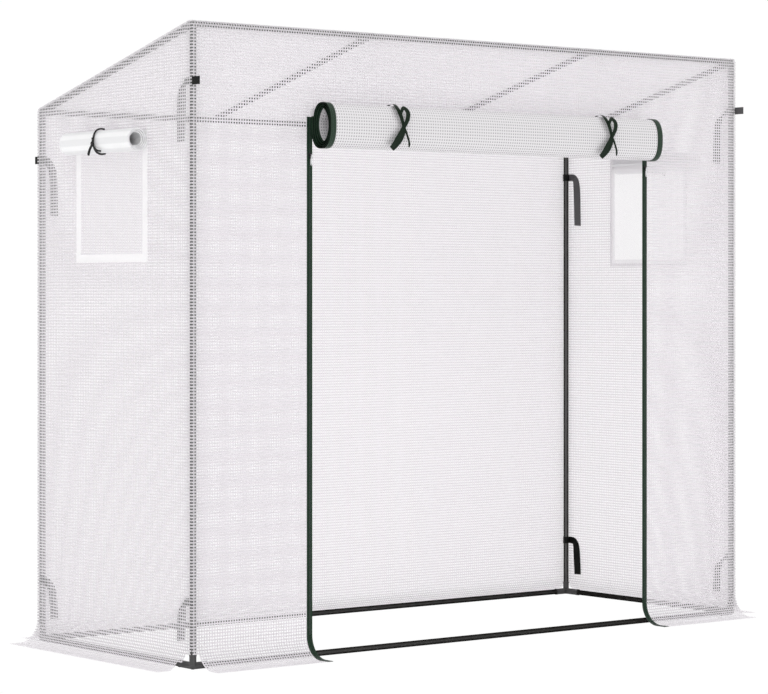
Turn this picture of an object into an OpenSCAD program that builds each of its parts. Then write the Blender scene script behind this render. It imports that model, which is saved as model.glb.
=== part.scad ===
// Lean-to walk-in greenhouse: a push-fit tube frame under a sewn film cover, with a roll-up zip door
// in the front and a roll-up shade over a net window in each side.
// Millimetres. X runs along the front, Y from the door side to the low back, Z up.
// The origin is on the ground, at the centre of the footprint.

/* [Frame] */
// Distance between the post centres along the front
frame_length = 1984; // [1600:1:2400]
// Distance between the front and back post centres
frame_depth = 747; // [620:1:900]
// Height of the top front rail's centre above the base rail's centre
front_rise = 1675; // [1640:1:1850]
// Height of the top back rail's centre above the base rail's centre
back_rise = 1482; // [1450:1:1620]
// Distance of each inner roof bar from the middle of the roof
roof_bar_offset = 407; // [250:1:600]
// Outer diameter of the frame tubes
tube_d = 16; // [14:0.5:18]
// Wall of the frame tubes
tube_wall = 1; // [0.6:0.1:1.5]
// Height of the joint between a post's two tubes, above the base rail's centre
post_joint = 820; // [500:1:1100]
// Length of the swaged end that slips into the next tube
spigot_length = 35; // [20:1:60]
// Clearance of a swaged end in the next tube, all round and at its shoulder
spigot_fit = 0.1; // [0.05:0.05:0.2]

/* [Connectors] */
// Outer diameter of a connector's hub and rims
socket_d = 20; // [19.5:0.1:23]
// How far an arm is thinner than its rim, on the radius
arm_relief = 0.7; // [0.5:0.1:0.8]
// Length of a rim
rim_length = 5; // [3:0.5:8]
// Length of an arm from the hub's centre
arm_length = 45; // [35:1:60]
// Length of a base connector's arm along the side
side_arm_length = 60; // [40:1:80]
// Length of a base connector's arm up the post
foot_arm_length = 30; // [28:1:40]
// Distance from a hub's centre to the end of a seated tube
seat_depth = 12; // [8:1:18]
// Radial clearance of a tube in its socket
tube_fit = 0.1; // [0.05:0.05:0.2]
// Height of the flat under a base connector's hub
foot_flat = 0.6; // [0.3:0.1:0.65]
// Length of the collar in the middle of a roof tee
collar_length = 24; // [22:1:40]

/* [Cover] */
// Thickness of the film
film_t = 0.6; // [0.4:0.1:1]
// Clearance between the connectors and the film
cover_gap = 0.3; // [0.2:0.1:1]
// Width of the ground flap, out from the wall
flap_width = 95; // [80:1:140]
// Radius at which a wall turns out on to the ground
flap_radius = 62; // [30:1:70]
// Height of the open corner in the cover at the front left foot
slit_height = 40; // [30:1:60]
// Length of the open corner along the front
slit_front = 35; // [20:1:60]
// Length of the open corner along the side
slit_side = 84; // [40:1:120]

/* [Door] */
// Width between the two zips
door_width = 1222; // [900:2:1300]
// Height of the top edge of the doorway
door_head = 1468; // [1440:1:1500]
// Height of the seam that sews the door on, above the doorway's top edge
door_hem = 12; // [6:1:30]
// Length of the rolled door
roll_length = 1218; // [890:2:1290]
// Height of the oval that the door roll's outer turn starts on
roll_height = 127; // [115:1:135]
// Depth of the oval that the door roll's outer turn starts on
roll_depth = 87; // [75:1:100]
// Distance from one turn of the door roll to the next
roll_pitch = 3.6; // [2.5:0.1:4]
// Turns in the door roll
roll_turns = 5; // [3:1:6]
// Height of the door roll's centre
roll_z = 1433; // [1410:1:1440]
// Width of the bound edges at both ends of the door roll
binding_width = 22; // [15:1:30]
// Thickness of the bound edges
binding_t = 1.4; // [0.8:0.1:1.8]
// Clearance between what hangs and what hangs beside it
hang_gap = 0.3; // [0.2:0.1:1]

/* [Door ties] */
// Distance of a tie from the middle of the door
tie_offset = 385; // [200:1:500]
// Width of the tie ribbon
tie_width = 14; // [10:1:20]
// Thickness of the tie ribbon
tie_t = 1.2; // [0.8:0.1:2]
// How far a tie's strands spread sideways
tie_spread = 30; // [20:1:40]

/* [Zips] */
// Width of a zip's tape
zip_tape_width = 18; // [14:1:26]
// Thickness of a zip's tape
zip_tape_t = 1; // [0.6:0.1:1.6]
// Height of the top end of a zip's tape
zip_top = 1456; // [1430:1:1460]
// Width of a zip's closed chain
chain_width = 4; // [3:0.5:5]
// Height of a zip's chain above its tape
chain_t = 1.5; // [1:0.1:2]
// Width of a zip's slider
slider_width = 9; // [8:0.5:11]
// Length of a zip's slider
slider_length = 13; // [10:0.5:18]
// Depth of a zip's slider
slider_depth = 4; // [3.6:0.1:6]
// Height of a slider's centre when the door is open
slider_z = 1352; // [1300:1:1355]
// Length of a slider's pull
pull_length = 24; // [15:1:30]
// Width of a slider's pull
pull_width = 6; // [4.5:0.5:8]
// Thickness of a slider's pull
pull_t = 1.2; // [0.8:0.1:1.6]
// Diameter of the bar that a pull hangs on
bail_d = 1.6; // [1.2:0.1:2]

/* [Windows] */
// Width of a window over its white border
window_width = 352; // [250:1:420]
// Height of a window over its white border
window_height = 352; // [250:1:380]
// Height of the border's bottom edge
window_bottom = 1065; // [1000:1:1065]
// Width of the border
border_width = 22; // [15:1:30]
// Thickness of the border
border_t = 1; // [0.6:0.1:1.6]
// Thickness of the window net
net_t = 0.4; // [0.3:0.1:0.6]
// Width of a net strand
strand_width = 2; // [1.2:0.1:4]
// Gaps in the window net, each way
net_gaps = 12; // [6:1:14]
// Length of a rolled window shade
shade_length = 345; // [260:1:400]
// Diameter at which a rolled window shade's outer turn starts
shade_d = 60; // [50:1:64]
// Distance from one turn of a window shade to the next
shade_pitch = 3.7; // [2.5:0.1:4.5]
// Half turns in a rolled window shade
shade_half_turns = 5; // [3:1:8]
// Height of a rolled shade's centre below the top of the window's border
shade_drop = 30; // [20:1:40]
// Diameter of the cord that ties a window shade
cord_d = 2.6; // [2:0.1:4]

/* [Straps] */
// Width of a post strap
strap_width = 21; // [15:1:26]
// Thickness of a post strap
strap_t = 1.2; // [0.8:0.1:1.3]
// Top of the upper straps, below the top rail's centre
upper_strap_drop = 136; // [100:1:250]
// Top of the lower straps above the ground
lower_strap_top = 186; // [150:1:300]
// Clearance of a strap round its post
strap_gap = 0.3; // [0.2:0.1:0.4]
// How far a strap runs along the side before it hangs
strap_run = 45; // [30:1:80]
// How far an upper strap hangs below its top
upper_strap_hang = 168; // [80:1:200]
// How far a lower strap hangs below its top
lower_strap_hang = 118; // [60:1:130]
// How far a front upper strap's short end sticks out of the cover
front_strap_stub = 34; // [10:1:40]
// How far a back upper strap's short end sticks out of the cover
back_strap_stub = 14; // [10:1:40]

/* [Hidden] */
$fn = 48;
ARC_STEPS = 8;
TURN_STEPS = 9;
OVER = 1;
// How far a strap's flat tail stands off the inside of its loop
STRAP_STEP = 0.2;

// Frame places
base_z = socket_d / 2 - foot_flat;
ridge_z = base_z + front_rise;
eave_z = base_z + back_rise;
post_x = frame_length / 2;
post_y = frame_depth / 2;
rise = front_rise - back_rise;
slope = atan(rise / frame_depth);
roof_bar_length = norm([frame_depth, rise]);
arm_d = socket_d - 2 * arm_relief;
socket_bore = tube_d + 2 * tube_fit;

// Directions of the connectors' arms, as turns of +Z
TO_RIGHT = [0, 90, 0];
TO_LEFT = [0, -90, 0];
TO_BACK = [-90, 0, 0];
TO_FRONT = [90, 0, 0];
TO_TOP = [0, 0, 0];
TO_GROUND = [180, 0, 0];
DOWN_ROOF = [-90 - slope, 0, 0];
UP_ROOF = [90 - slope, 0, 0];

// Cover places: the walls' inner and outer faces
cover_r = socket_d / 2 + cover_gap;
wall_x = post_x + cover_r;
wall_y = post_y + cover_r;
outer_x = wall_x + film_t;
outer_y = wall_y + film_t;

// Door places
door_half = door_width / 2;
roll_r = roll_depth / 2;
roll_flat = roll_height - roll_depth;
roll_y = -(outer_y + hang_gap + roll_r);
binding_r = roll_r + (binding_t - film_t) / 2;
chain_x = door_half + zip_tape_width / 2;
tape_y = outer_y + zip_tape_t;
chain_y = tape_y + chain_t;
slider_y = tape_y + hang_gap;
eye_d = bail_d + 4 * hang_gap;
eye_outer = eye_d + 2 * pull_t;
bail_y = slider_y + slider_depth + eye_outer / 2 + hang_gap;
cheek_x = pull_width / 4 + 2 * hang_gap + bail_d / 4;

// Window places
window_top = window_bottom + window_height;
window_hole_w = window_width - border_width;
window_hole_h = window_height - border_width;
window_z = window_bottom + window_height / 2;
border_x = outer_x + border_t;
shade_r = shade_d / 2;
shade_x = border_x + hang_gap + shade_r;
shade_z = window_top - shade_drop;
cord_ring_r = shade_r + hang_gap + cord_d / 2;

// Strap places
strap_ring_r = tube_d / 2 + strap_gap;
strap_tail_x = strap_ring_r + STRAP_STEP;

// Points of a circle's arc about a centre, from one angle to another
function arc(centre, r, from, to, steps) =
    [for (i = [0 : steps]) let (a = from + (to - from) * i / steps) centre + r * [cos(a), sin(a)]];

function reverse(points) = [for (i = [len(points) - 1 : -1 : 0]) points[i]];

// The roof's outline in (Y, Z) at a distance r round the top rails: over the ridge, down, over the eave
function roof_line(r) = concat(
    arc([-post_y, ridge_z], r, 180, 90 - slope, ARC_STEPS),
    arc([post_y, eave_z], r, 90 - slope, 0, ARC_STEPS));

// A wall and its ground flap, in (distance out from the wall's inner face, Z)
function wall_profile(top, skin, lift) = concat(
    [[skin + lift, top]],
    arc([flap_radius, flap_radius], flap_radius - skin - lift, 180, 270, ARC_STEPS),
    [[flap_width, skin + lift], [flap_width, lift]],
    arc([flap_radius, flap_radius], flap_radius - lift, 270, 180, ARC_STEPS),
    [[lift, top]]);

// One face of an oval winding: it starts at the top of the near straight side, runs down it, under,
// up the far side and over, and comes in by a pitch each turn. A flat of 0 gives a round winding.
function winding_line(r, flat, pitch, half_turns) = concat(
    flat > 0 ? [[r, flat / 2]] : [],
    [for (h = [0 : half_turns - 1])
        for (j = [(flat > 0 || h == 0 ? 0 : 1) : TURN_STEPS])
            let (turn = h + j / TURN_STEPS,
                 reach = r - pitch * turn / 2,
                 side = h % 2 == 0 ? -1 : 1)
            [reach * cos(180 * turn), -reach * sin(180 * turn) + side * flat / 2]]);

function winding(r, flat, pitch, half_turns, t) = concat(
    winding_line(r, flat, pitch, half_turns),
    reverse(winding_line(r - t, flat, pitch, half_turns)));

// Least gap of a winding to itself, measured on the points of its middle line
function least_gap(r, flat, pitch, half_turns, t) =
    let (line = winding_line(r - t / 2, flat, pitch, half_turns),
         apart = TURN_STEPS + 2)
    min([for (i = [0 : len(line) - 1 - apart])
        for (j = [i + apart : len(line) - 1]) norm(line[i] - line[j])]) - t;

echo(door_roll_least_gap = least_gap(roll_r, roll_flat, roll_pitch, 2 * roll_turns, film_t));
echo(door_edge_least_gap = least_gap(binding_r, roll_flat, roll_pitch, 2 * roll_turns, binding_t));
echo(window_roll_least_gap = least_gap(shade_r, 0, shade_pitch, shade_half_turns, film_t));

// Extrudes a (Y, Z) outline along X, centred
module along_x(length) {
    rotate([90, 0, 90]) linear_extrude(length, center = true) children();
}

// Extrudes an (X, Z) outline along Y, centred
module along_y(length) {
    rotate([90, 0, 0]) linear_extrude(length, center = true) children();
}

// Draws a child on the left as it is, or on the right in the mirror
module on_side(side) {
    if (side < 0) children();
    else mirror([1, 0, 0]) children();
}

// Frame tubes
module tube(length, d = tube_d) {
    difference() {
        cylinder(d = d, h = length);
        translate([0, 0, -OVER]) cylinder(d = d - 2 * tube_wall, h = length + 2 * OVER);
    }
}

// Two tubes in line: the first one's swaged end slips into the second
module swaged_pair(length, joint) {
    spigot_d = tube_d - 2 * tube_wall - 2 * spigot_fit;
    difference() {
        union() {
            cylinder(d = tube_d, h = joint);
            cylinder(d = spigot_d, h = joint + spigot_length);
        }
        translate([0, 0, -OVER]) cylinder(d = spigot_d - 2 * tube_wall, h = length);
    }
    translate([0, 0, joint + spigot_fit]) tube(length - joint - spigot_fit);
}

module post(x, y, rise_here) {
    color([0.25, 0.26, 0.27])
    translate([x, y, base_z + seat_depth])
        swaged_pair(rise_here - 2 * seat_depth, post_joint - seat_depth);
}

module long_base_rail(y) {
    length = frame_length - 2 * seat_depth;
    color([0.25, 0.26, 0.27])
    translate([-length / 2, y, base_z]) rotate(TO_RIGHT) swaged_pair(length, length / 2);
}

module side_base_rail(x) {
    length = frame_depth - 2 * seat_depth;
    color([0.25, 0.26, 0.27])
    translate([x, -length / 2, base_z]) rotate(TO_BACK) tube(length);
}

module top_rail(from, to, y, z) {
    color([0.25, 0.26, 0.27])
    translate([from + seat_depth, y, z]) rotate(TO_RIGHT) tube(to - from - 2 * seat_depth);
}

module roof_bar(x) {
    color([0.25, 0.26, 0.27])
    translate([x, -post_y, ridge_z]) rotate(DOWN_ROOF)
        translate([0, 0, seat_depth]) tube(roof_bar_length - 2 * seat_depth);
}

// Moulded connectors: the child is the hub, and ways lists the [turn, length] of the hollow arms,
// each of which ends in a rim
module connector(ways) {
    color([0.3, 0.3, 0.3])
    difference() {
        union() {
            children();
            for (way = ways) rotate(way[0]) {
                cylinder(d = arm_d, h = way[1] - rim_length / 2);
                translate([0, 0, way[1] - rim_length]) cylinder(d = socket_d, h = rim_length);
            }
        }
        for (way = ways) rotate(way[0])
            translate([0, 0, seat_depth]) cylinder(d = socket_bore, h = way[1]);
    }
}

module base_corner(side, end) {
    inward_x = side < 0 ? TO_RIGHT : TO_LEFT;
    inward_y = end < 0 ? TO_BACK : TO_FRONT;
    color([0.3, 0.3, 0.3])
    difference() {
        translate([side * post_x, end * post_y, base_z])
            connector([[inward_x, arm_length], [inward_y, side_arm_length], [TO_TOP, foot_arm_length]])
                sphere(d = socket_d);
        translate([side * post_x, end * post_y, -socket_d / 2])
            cube([4 * side_arm_length, 4 * side_arm_length, socket_d], center = true);
    }
}

module ridge_corner(side) {
    inward_x = side < 0 ? TO_RIGHT : TO_LEFT;
    translate([side * post_x, -post_y, ridge_z])
        connector([[inward_x, arm_length], [DOWN_ROOF, arm_length], [TO_GROUND, arm_length]])
            sphere(d = socket_d);
}

module eave_corner(side) {
    inward_x = side < 0 ? TO_RIGHT : TO_LEFT;
    translate([side * post_x, post_y, eave_z])
        connector([[inward_x, arm_length], [UP_ROOF, arm_length], [TO_GROUND, arm_length]])
            sphere(d = socket_d);
}

// The thicker middle of a roof tee, along its rail
module collar() {
    along_x(collar_length) circle(d = socket_d);
}

module ridge_tee(side) {
    translate([side * roof_bar_offset, -post_y, ridge_z])
        connector([[TO_LEFT, arm_length], [TO_RIGHT, arm_length], [DOWN_ROOF, arm_length]]) collar();
}

module eave_tee(side) {
    translate([side * roof_bar_offset, post_y, eave_z])
        connector([[TO_LEFT, arm_length], [TO_RIGHT, arm_length], [UP_ROOF, arm_length]]) collar();
}

// Cover panels. The roof wraps both top rails and meets the walls at seams level with the rails' centres
module roof_sheet() {
    color([0.93, 0.93, 0.94, 0.6])
    along_x(2 * wall_x) polygon(concat(roof_line(cover_r + film_t), reverse(roof_line(cover_r))));
}

// The gap that lets an upper strap's short end out at a corner of the front or back wall
module strap_outlet(side, end, top) {
    translate([side * (post_x + tube_d / 2), end * wall_y, top - strap_width / 2])
    translate([side * cover_r / 2, 0, 0])
        cube([cover_r, 4 * film_t, strap_width + 2 * strap_gap], center = true);
}

// The open corner of the cover at the front left foot, seen from above
module corner_slit() {
    translate([0, 0, -OVER]) linear_extrude(slit_height + OVER) {
        polygon([
            [-wall_x - OVER / 2, -wall_y + OVER],
            [-wall_x + slit_front, -wall_y + OVER],
            [-wall_x + slit_front, -outer_y],
            [-wall_x, -wall_y - flap_width],
            [-wall_x - OVER / 2, -wall_y - flap_width]]);
        polygon([
            [-wall_x + OVER, -outer_y - OVER],
            [-wall_x + OVER, -outer_y + slit_side],
            [-outer_x, -outer_y + slit_side],
            [-wall_x - flap_width, -outer_y],
            [-wall_x - flap_width, -outer_y - OVER]]);
    }
}

module front_wall() {
    color([0.93, 0.93, 0.94, 0.6])
    difference() {
        translate([0, -wall_y, 0]) along_x(2 * wall_x)
            mirror([1, 0]) polygon(wall_profile(ridge_z, film_t, 0));
        translate([-door_half, -wall_y - 2 * flap_width, -OVER])
            cube([door_width, 4 * flap_width, door_head + OVER]);
        for (side = [-1, 1]) strap_outlet(side, -1, ridge_z - upper_strap_drop);
        corner_slit();
    }
}

module back_wall() {
    color([0.93, 0.93, 0.94, 0.6])
    difference() {
        translate([0, wall_y, 0]) along_x(2 * wall_x) polygon(wall_profile(eave_z, film_t, 0));
        for (side = [-1, 1]) strap_outlet(side, 1, eave_z - upper_strap_drop);
    }
}

// A side wall: its edge follows the roof, and its window hole is half under the border
module side_wall() {
    intersection() {
        translate([-wall_x, 0, 0]) along_y(2 * outer_y)
            mirror([1, 0]) polygon(wall_profile(ridge_z + socket_d, film_t, 0));
        translate([-wall_x, 0, 0]) along_x(4 * flap_width) difference() {
            polygon(concat(roof_line(cover_r + film_t), [[outer_y, 0], [-outer_y, 0]]));
            translate([0, window_z]) square([window_hole_w, window_hole_h], center = true);
        }
    }
}

module left_wall() {
    color([0.93, 0.93, 0.94, 0.6])
    difference() {
        side_wall();
        corner_slit();
    }
}

module right_wall() {
    color([0.93, 0.93, 0.94, 0.6]) on_side(1) side_wall();
}

// Window net: a sheet with square gaps, in the middle of the wall's thickness
module window_net(side) {
    pitch_y = window_hole_w / net_gaps;
    pitch_z = window_hole_h / net_gaps;
    color([0.96, 0.96, 0.97])
    on_side(side) translate([-wall_x - film_t / 2, 0, window_z]) along_x(net_t)
    difference() {
        square([window_hole_w, window_hole_h], center = true);
        for (i = [0 : net_gaps - 1])
            for (j = [0 : net_gaps - 1])
                translate([(i + 0.5) * pitch_y - window_hole_w / 2, (j + 0.5) * pitch_z - window_hole_h / 2])
                    square([pitch_y - strand_width, pitch_z - strand_width], center = true);
    }
}

module window_border(side) {
    color([1, 1, 1])
    on_side(side) translate([-outer_x - border_t / 2, 0, window_z]) along_x(border_t)
    difference() {
        square([window_width, window_height], center = true);
        square([window_width - 2 * border_width, window_height - 2 * border_width], center = true);
    }
}

// Zips: a tape along the doorway's edge that follows the wall out on to the ground flap, with its chain
module zip_tape(side) {
    color([0.13, 0.2, 0.15])
    on_side(side) {
        translate([-chain_x, -wall_y, 0]) along_x(zip_tape_width)
            mirror([1, 0]) polygon(wall_profile(zip_top, zip_tape_t, film_t));
        translate([-chain_x - chain_width / 2, -chain_y, flap_radius])
            cube([chain_width, chain_t, zip_top - flap_radius]);
    }
}

// A zip's slider: a waisted body with a groove for the chain, and a bail of two cheeks and a bar
module zip_slider(side) {
    groove_w = chain_width + 2 * hang_gap;
    bail_reach = bail_y - slider_y;
    waist_d = slider_length * 0.7;
    waist_x = slider_width * 0.72;
    color([0.1, 0.1, 0.1])
    on_side(side) translate([-chain_x, -slider_y, slider_z]) {
        difference() {
            along_x(slider_width) translate([-slider_depth / 2, 0])
                square([slider_depth, slider_length], center = true);
            translate([-groove_w / 2, -chain_t, -slider_length])
                cube([groove_w, 2 * chain_t, 2 * slider_length]);
            for (end = [-1, 1]) translate([end * waist_x, 0, -slider_length / 2])
                rotate([90, 0, 0]) cylinder(d = waist_d, h = 4 * slider_depth, center = true);
        }
        for (cheek = [-1, 1])
            translate([cheek * cheek_x - bail_d / 4, -bail_reach - bail_d / 2, -bail_d])
                cube([bail_d / 2, bail_reach - slider_depth + bail_d, 2 * bail_d]);
        translate([0, -bail_reach, 0]) rotate([0, 90, 0])
            cylinder(d = bail_d, h = 2 * cheek_x, center = true);
    }
}

// A slider's pull: an eye round the bail's bar, a neck and a wider tab with a hole
module zip_pull(side) {
    tab_top = pull_length * 0.4;
    color([0.62, 0.62, 0.63])
    on_side(side) translate([-chain_x, -bail_y, slider_z]) difference() {
        union() {
            along_x(pull_width / 2) circle(d = eye_outer);
            translate([0, 0, -pull_length / 2]) cube([pull_width / 2, pull_t, pull_length], center = true);
            translate([0, 0, -(pull_length + tab_top) / 2])
                cube([pull_width, pull_t, pull_length - tab_top], center = true);
            translate([0, 0, -pull_length]) along_y(pull_t) circle(d = pull_width * 0.98);
        }
        along_x(2 * pull_width) circle(d = eye_d);
        translate([0, 0, -pull_length]) along_y(4 * pull_t) circle(d = pull_width / 2);
    }
}

// Door: a short hanging flap that grows as the roll goes down, and the roll, bound at both ends
module door_flap() {
    low = roll_z + roll_flat / 2 + hang_gap;
    color([0.93, 0.93, 0.94, 0.6])
    translate([-roll_length / 2, -outer_y - film_t, low])
        cube([roll_length, film_t, door_head + door_hem - low]);
}

module door_roll() {
    color([0.95, 0.95, 0.96])
    translate([0, roll_y, roll_z]) along_x(roll_length - 2 * binding_width)
        polygon(winding(roll_r, roll_flat, roll_pitch, 2 * roll_turns, film_t));
}

module door_edge(side) {
    color([0.13, 0.2, 0.15])
    translate([side * (roll_length - binding_width) / 2, roll_y, roll_z]) along_x(binding_width)
        polygon(winding(binding_r, roll_flat, roll_pitch, 2 * roll_turns, binding_t));
}

// A straight stretch of ribbon seen from the front, from one point to another
module stroke(from, to, w) {
    run = to - from;
    translate(from) rotate(atan2(run[1], run[0])) translate([-w / 3, -w / 2])
        square([norm(run) + 2 * w / 3, w]);
}

// The open bow of a tie, an oval ring that leans a little
module bow(w) {
    lean = -9;
    long = roll_height / 4;
    short = tie_spread / 2;
    translate([short * 0.45, long * 0.9]) rotate(lean) difference() {
        polygon([for (i = [0 : 15]) [short * cos(i * 22.5), long * sin(i * 22.5)]]);
        polygon([for (i = [0 : 15]) [(short - w) * cos(i * 22.5), (long - w) * sin(i * 22.5)]]);
    }
}

// A tie: ribbons that follow the roll's outer turn, crossing at a knot in front, over and under the roll
module door_tie(side) {
    reach = roll_height / 2;
    band_r = roll_r + hang_gap + tie_t;
    knot_y = -roll_r + roll_pitch / 2 - hang_gap;
    front_w = tie_width;
    back_w = tie_width * 0.85;
    color([0.12, 0.2, 0.14])
    translate([side * tie_offset, roll_y, roll_z]) {
        intersection() {
            along_x(4 * tie_spread) polygon(winding(band_r, roll_flat, roll_pitch, 2, tie_t));
            union() {
                rotate([90, 0, 0]) linear_extrude(roll_depth) {
                    stroke([-tie_spread, reach], [0, 0], back_w);
                    stroke([0, 0], [-tie_spread, -reach], front_w);
                    stroke([0, 0], [tie_spread * 0.65, -reach * 0.82], front_w * 0.35);
                    bow(front_w * 0.5);
                }
                for (end = [-1, 1])
                    translate([-tie_spread - back_w / 2, -OVER, end * reach - back_w])
                        cube([back_w, roll_r * 0.85 + OVER, 2 * back_w]);
            }
        }
        translate([0, knot_y, 0]) rotate([90, 0, 0]) cylinder(d = front_w * 0.9, h = 2 * tie_t);
    }
}

// Window shades: a short hanging flap, a roll of film and the cord that ties it
module window_flap(side) {
    low = shade_z + hang_gap;
    color([0.95, 0.95, 0.96])
    on_side(side) translate([-border_x - film_t, -shade_length / 2, low])
        cube([film_t, shade_length, window_top - low]);
}

module window_roll(side) {
    color([0.96, 0.96, 0.97])
    on_side(side) translate([-shade_x, 0, shade_z]) along_y(shade_length)
        polygon(winding(shade_r, 0, shade_pitch, shade_half_turns, film_t));
}

module window_tie(side) {
    tail_r = shade_d / 5;
    front = cord_ring_r;
    color([0.06, 0.06, 0.06])
    on_side(side) translate([-shade_x, 0, shade_z]) {
        // The loop round the roll is open where it meets the wall
        rotate([90, 0, 0]) rotate([0, 0, 35]) rotate_extrude(angle = 290)
            translate([cord_ring_r, 0]) circle(d = cord_d, $fn = 16);
        translate([-front, 0, 0]) sphere(d = 2.4 * cord_d);
        for (hand = [-1, 1])
            translate([-front, hand * tail_r, 0]) rotate([0, 90, 0])
                rotate([0, 0, hand < 0 ? 0 : -90]) rotate_extrude(angle = 90)
                    translate([tail_r, 0]) circle(d = cord_d, $fn = 16);
    }
}

// Post straps: a loop round the post, a tail along the side wall that bends down and hangs
module strap(x, y, top, hang, stub) {
    side = x < 0 ? -1 : 1;
    end = y < 0 ? -1 : 1;
    bend = strap_width;
    run = strap_run + strap_width;
    color([0.14, 0.17, 0.15])
    translate([x, y, top]) mirror([side > 0 ? 0 : 1, 0, 0]) mirror([0, end > 0 ? 1 : 0, 0])
    difference() {
        union() {
            translate([0, 0, -strap_width]) cylinder(r = strap_ring_r + strap_t, h = strap_width);
            translate([strap_tail_x + strap_t / 2, 0, 0]) along_x(strap_t) {
                translate([0, -strap_width]) square([strap_run - strap_width / 2, strap_width]);
                translate([run - bend, -bend]) intersection() {
                    circle(r = bend);
                    square(2 * bend);
                }
                translate([strap_run - bend, -strap_width]) square([bend, strap_width]);
                translate([strap_run, -hang]) square([strap_width, hang - bend]);
            }
            if (stub > 0) translate([strap_tail_x, -cover_r - film_t - stub, -strap_width])
                cube([strap_t, cover_r + film_t + stub, strap_width]);
        }
        translate([0, 0, -2 * strap_width]) cylinder(r = strap_ring_r, h = 3 * strap_width);
    }
}

module upper_straps() {
    for (side = [-1, 1]) {
        strap(side * post_x, -post_y, ridge_z - upper_strap_drop, upper_strap_hang, front_strap_stub);
        strap(side * post_x, post_y, eave_z - upper_strap_drop, upper_strap_hang, back_strap_stub);
    }
}

module lower_straps() {
    for (side = [-1, 1])
        for (end = [-1, 1])
            strap(side * post_x, end * post_y, lower_strap_top, lower_strap_hang, 0);
}

post(-post_x, -post_y, front_rise);  // post_front_left
post(post_x, -post_y, front_rise);  // post_front_right
post(-post_x, post_y, back_rise);  // post_back_left
post(post_x, post_y, back_rise);  // post_back_right
long_base_rail(-post_y);  // base_rail_front
long_base_rail(post_y);  // base_rail_back
side_base_rail(-post_x);  // base_rail_left
side_base_rail(post_x);  // base_rail_right
top_rail(-post_x, -roof_bar_offset, -post_y, ridge_z);  // ridge_rail_left
top_rail(-roof_bar_offset, roof_bar_offset, -post_y, ridge_z);  // ridge_rail_middle
top_rail(roof_bar_offset, post_x, -post_y, ridge_z);  // ridge_rail_right
top_rail(-post_x, -roof_bar_offset, post_y, eave_z);  // eave_rail_left
top_rail(-roof_bar_offset, roof_bar_offset, post_y, eave_z);  // eave_rail_middle
top_rail(roof_bar_offset, post_x, post_y, eave_z);  // eave_rail_right
roof_bar(-post_x);  // roof_bar_left_end
roof_bar(-roof_bar_offset);  // roof_bar_left_inner
roof_bar(roof_bar_offset);  // roof_bar_right_inner
roof_bar(post_x);  // roof_bar_right_end
base_corner(-1, -1);  // base_corner_front_left
base_corner(1, -1);  // base_corner_front_right
base_corner(-1, 1);  // base_corner_back_left
base_corner(1, 1);  // base_corner_back_right
ridge_corner(-1);  // ridge_corner_left
ridge_corner(1);  // ridge_corner_right
eave_corner(-1);  // eave_corner_left
eave_corner(1);  // eave_corner_right
ridge_tee(-1);  // ridge_tee_left
ridge_tee(1);  // ridge_tee_right
eave_tee(-1);  // eave_tee_left
eave_tee(1);  // eave_tee_right
roof_sheet();
front_wall();
back_wall();
left_wall();
right_wall();
window_net(-1);  // window_net_left
window_net(1);  // window_net_right
window_border(-1);  // window_border_left
window_border(1);  // window_border_right
zip_tape(-1);  // zip_tape_left
zip_tape(1);  // zip_tape_right
upper_straps();
lower_straps();
door_flap();
door_roll();
door_edge(-1);  // door_edge_left
door_edge(1);  // door_edge_right
door_tie(-1);  // door_tie_left
door_tie(1);  // door_tie_right
window_flap(-1);  // window_flap_left
window_flap(1);  // window_flap_right
window_roll(-1);  // window_roll_left
window_roll(1);  // window_roll_right
window_tie(-1);  // window_tie_left
window_tie(1);  // window_tie_right
zip_slider(-1);  // zip_slider_left
zip_slider(1);  // zip_slider_right
zip_pull(-1);  // zip_pull_left
zip_pull(1);  // zip_pull_right
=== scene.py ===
"""Looks of a lean-to walk-in greenhouse: film cover, rolled door, window shades, zips and straps.

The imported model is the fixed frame. Its tubes, connectors and zip hardware stay and get their
finishes, and every sheet, roll, ribbon, net and cord is modelled here in its place.
Metres. X runs along the front, Y from the door side to the low back, Z up.
"""

import logging
import math
from dataclasses import dataclass, field
from enum import Enum

import bpy
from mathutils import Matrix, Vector

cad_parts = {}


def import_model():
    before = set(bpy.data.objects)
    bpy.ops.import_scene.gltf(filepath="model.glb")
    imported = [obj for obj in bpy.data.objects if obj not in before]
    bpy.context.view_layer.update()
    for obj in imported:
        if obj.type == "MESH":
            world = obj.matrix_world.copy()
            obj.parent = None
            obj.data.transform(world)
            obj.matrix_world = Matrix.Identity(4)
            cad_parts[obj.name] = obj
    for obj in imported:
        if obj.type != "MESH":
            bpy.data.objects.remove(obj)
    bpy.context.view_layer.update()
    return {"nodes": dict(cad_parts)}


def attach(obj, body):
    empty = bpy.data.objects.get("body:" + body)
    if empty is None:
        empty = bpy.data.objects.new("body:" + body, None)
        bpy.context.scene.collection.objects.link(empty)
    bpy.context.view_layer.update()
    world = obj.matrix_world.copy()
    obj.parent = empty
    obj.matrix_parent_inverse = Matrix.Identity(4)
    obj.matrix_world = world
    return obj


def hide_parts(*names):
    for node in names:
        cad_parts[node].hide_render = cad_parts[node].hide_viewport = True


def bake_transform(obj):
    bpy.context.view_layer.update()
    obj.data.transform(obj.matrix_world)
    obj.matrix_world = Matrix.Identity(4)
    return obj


log = logging.getLogger("greenhouse")
CLOTH_MAP = "Cloth"
UP = Vector((0.0, 0.0, 1.0))
ALONG_X = Vector((1.0, 0.0, 0.0))
ALONG_Y = Vector((0.0, 1.0, 0.0))
ENDLESS = 10.0
Colour = tuple[float, float, float]
Point = tuple[float, float]
Faces = tuple[bpy.types.Material, bpy.types.Material]


class Side(Enum):
    """The greenhouse's two ends, seen from the door."""

    LEFT = -1
    RIGHT = 1

    @property
    def word(self) -> str:
        """The side's name as the nodes spell it."""
        return self.name.lower()


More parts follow.
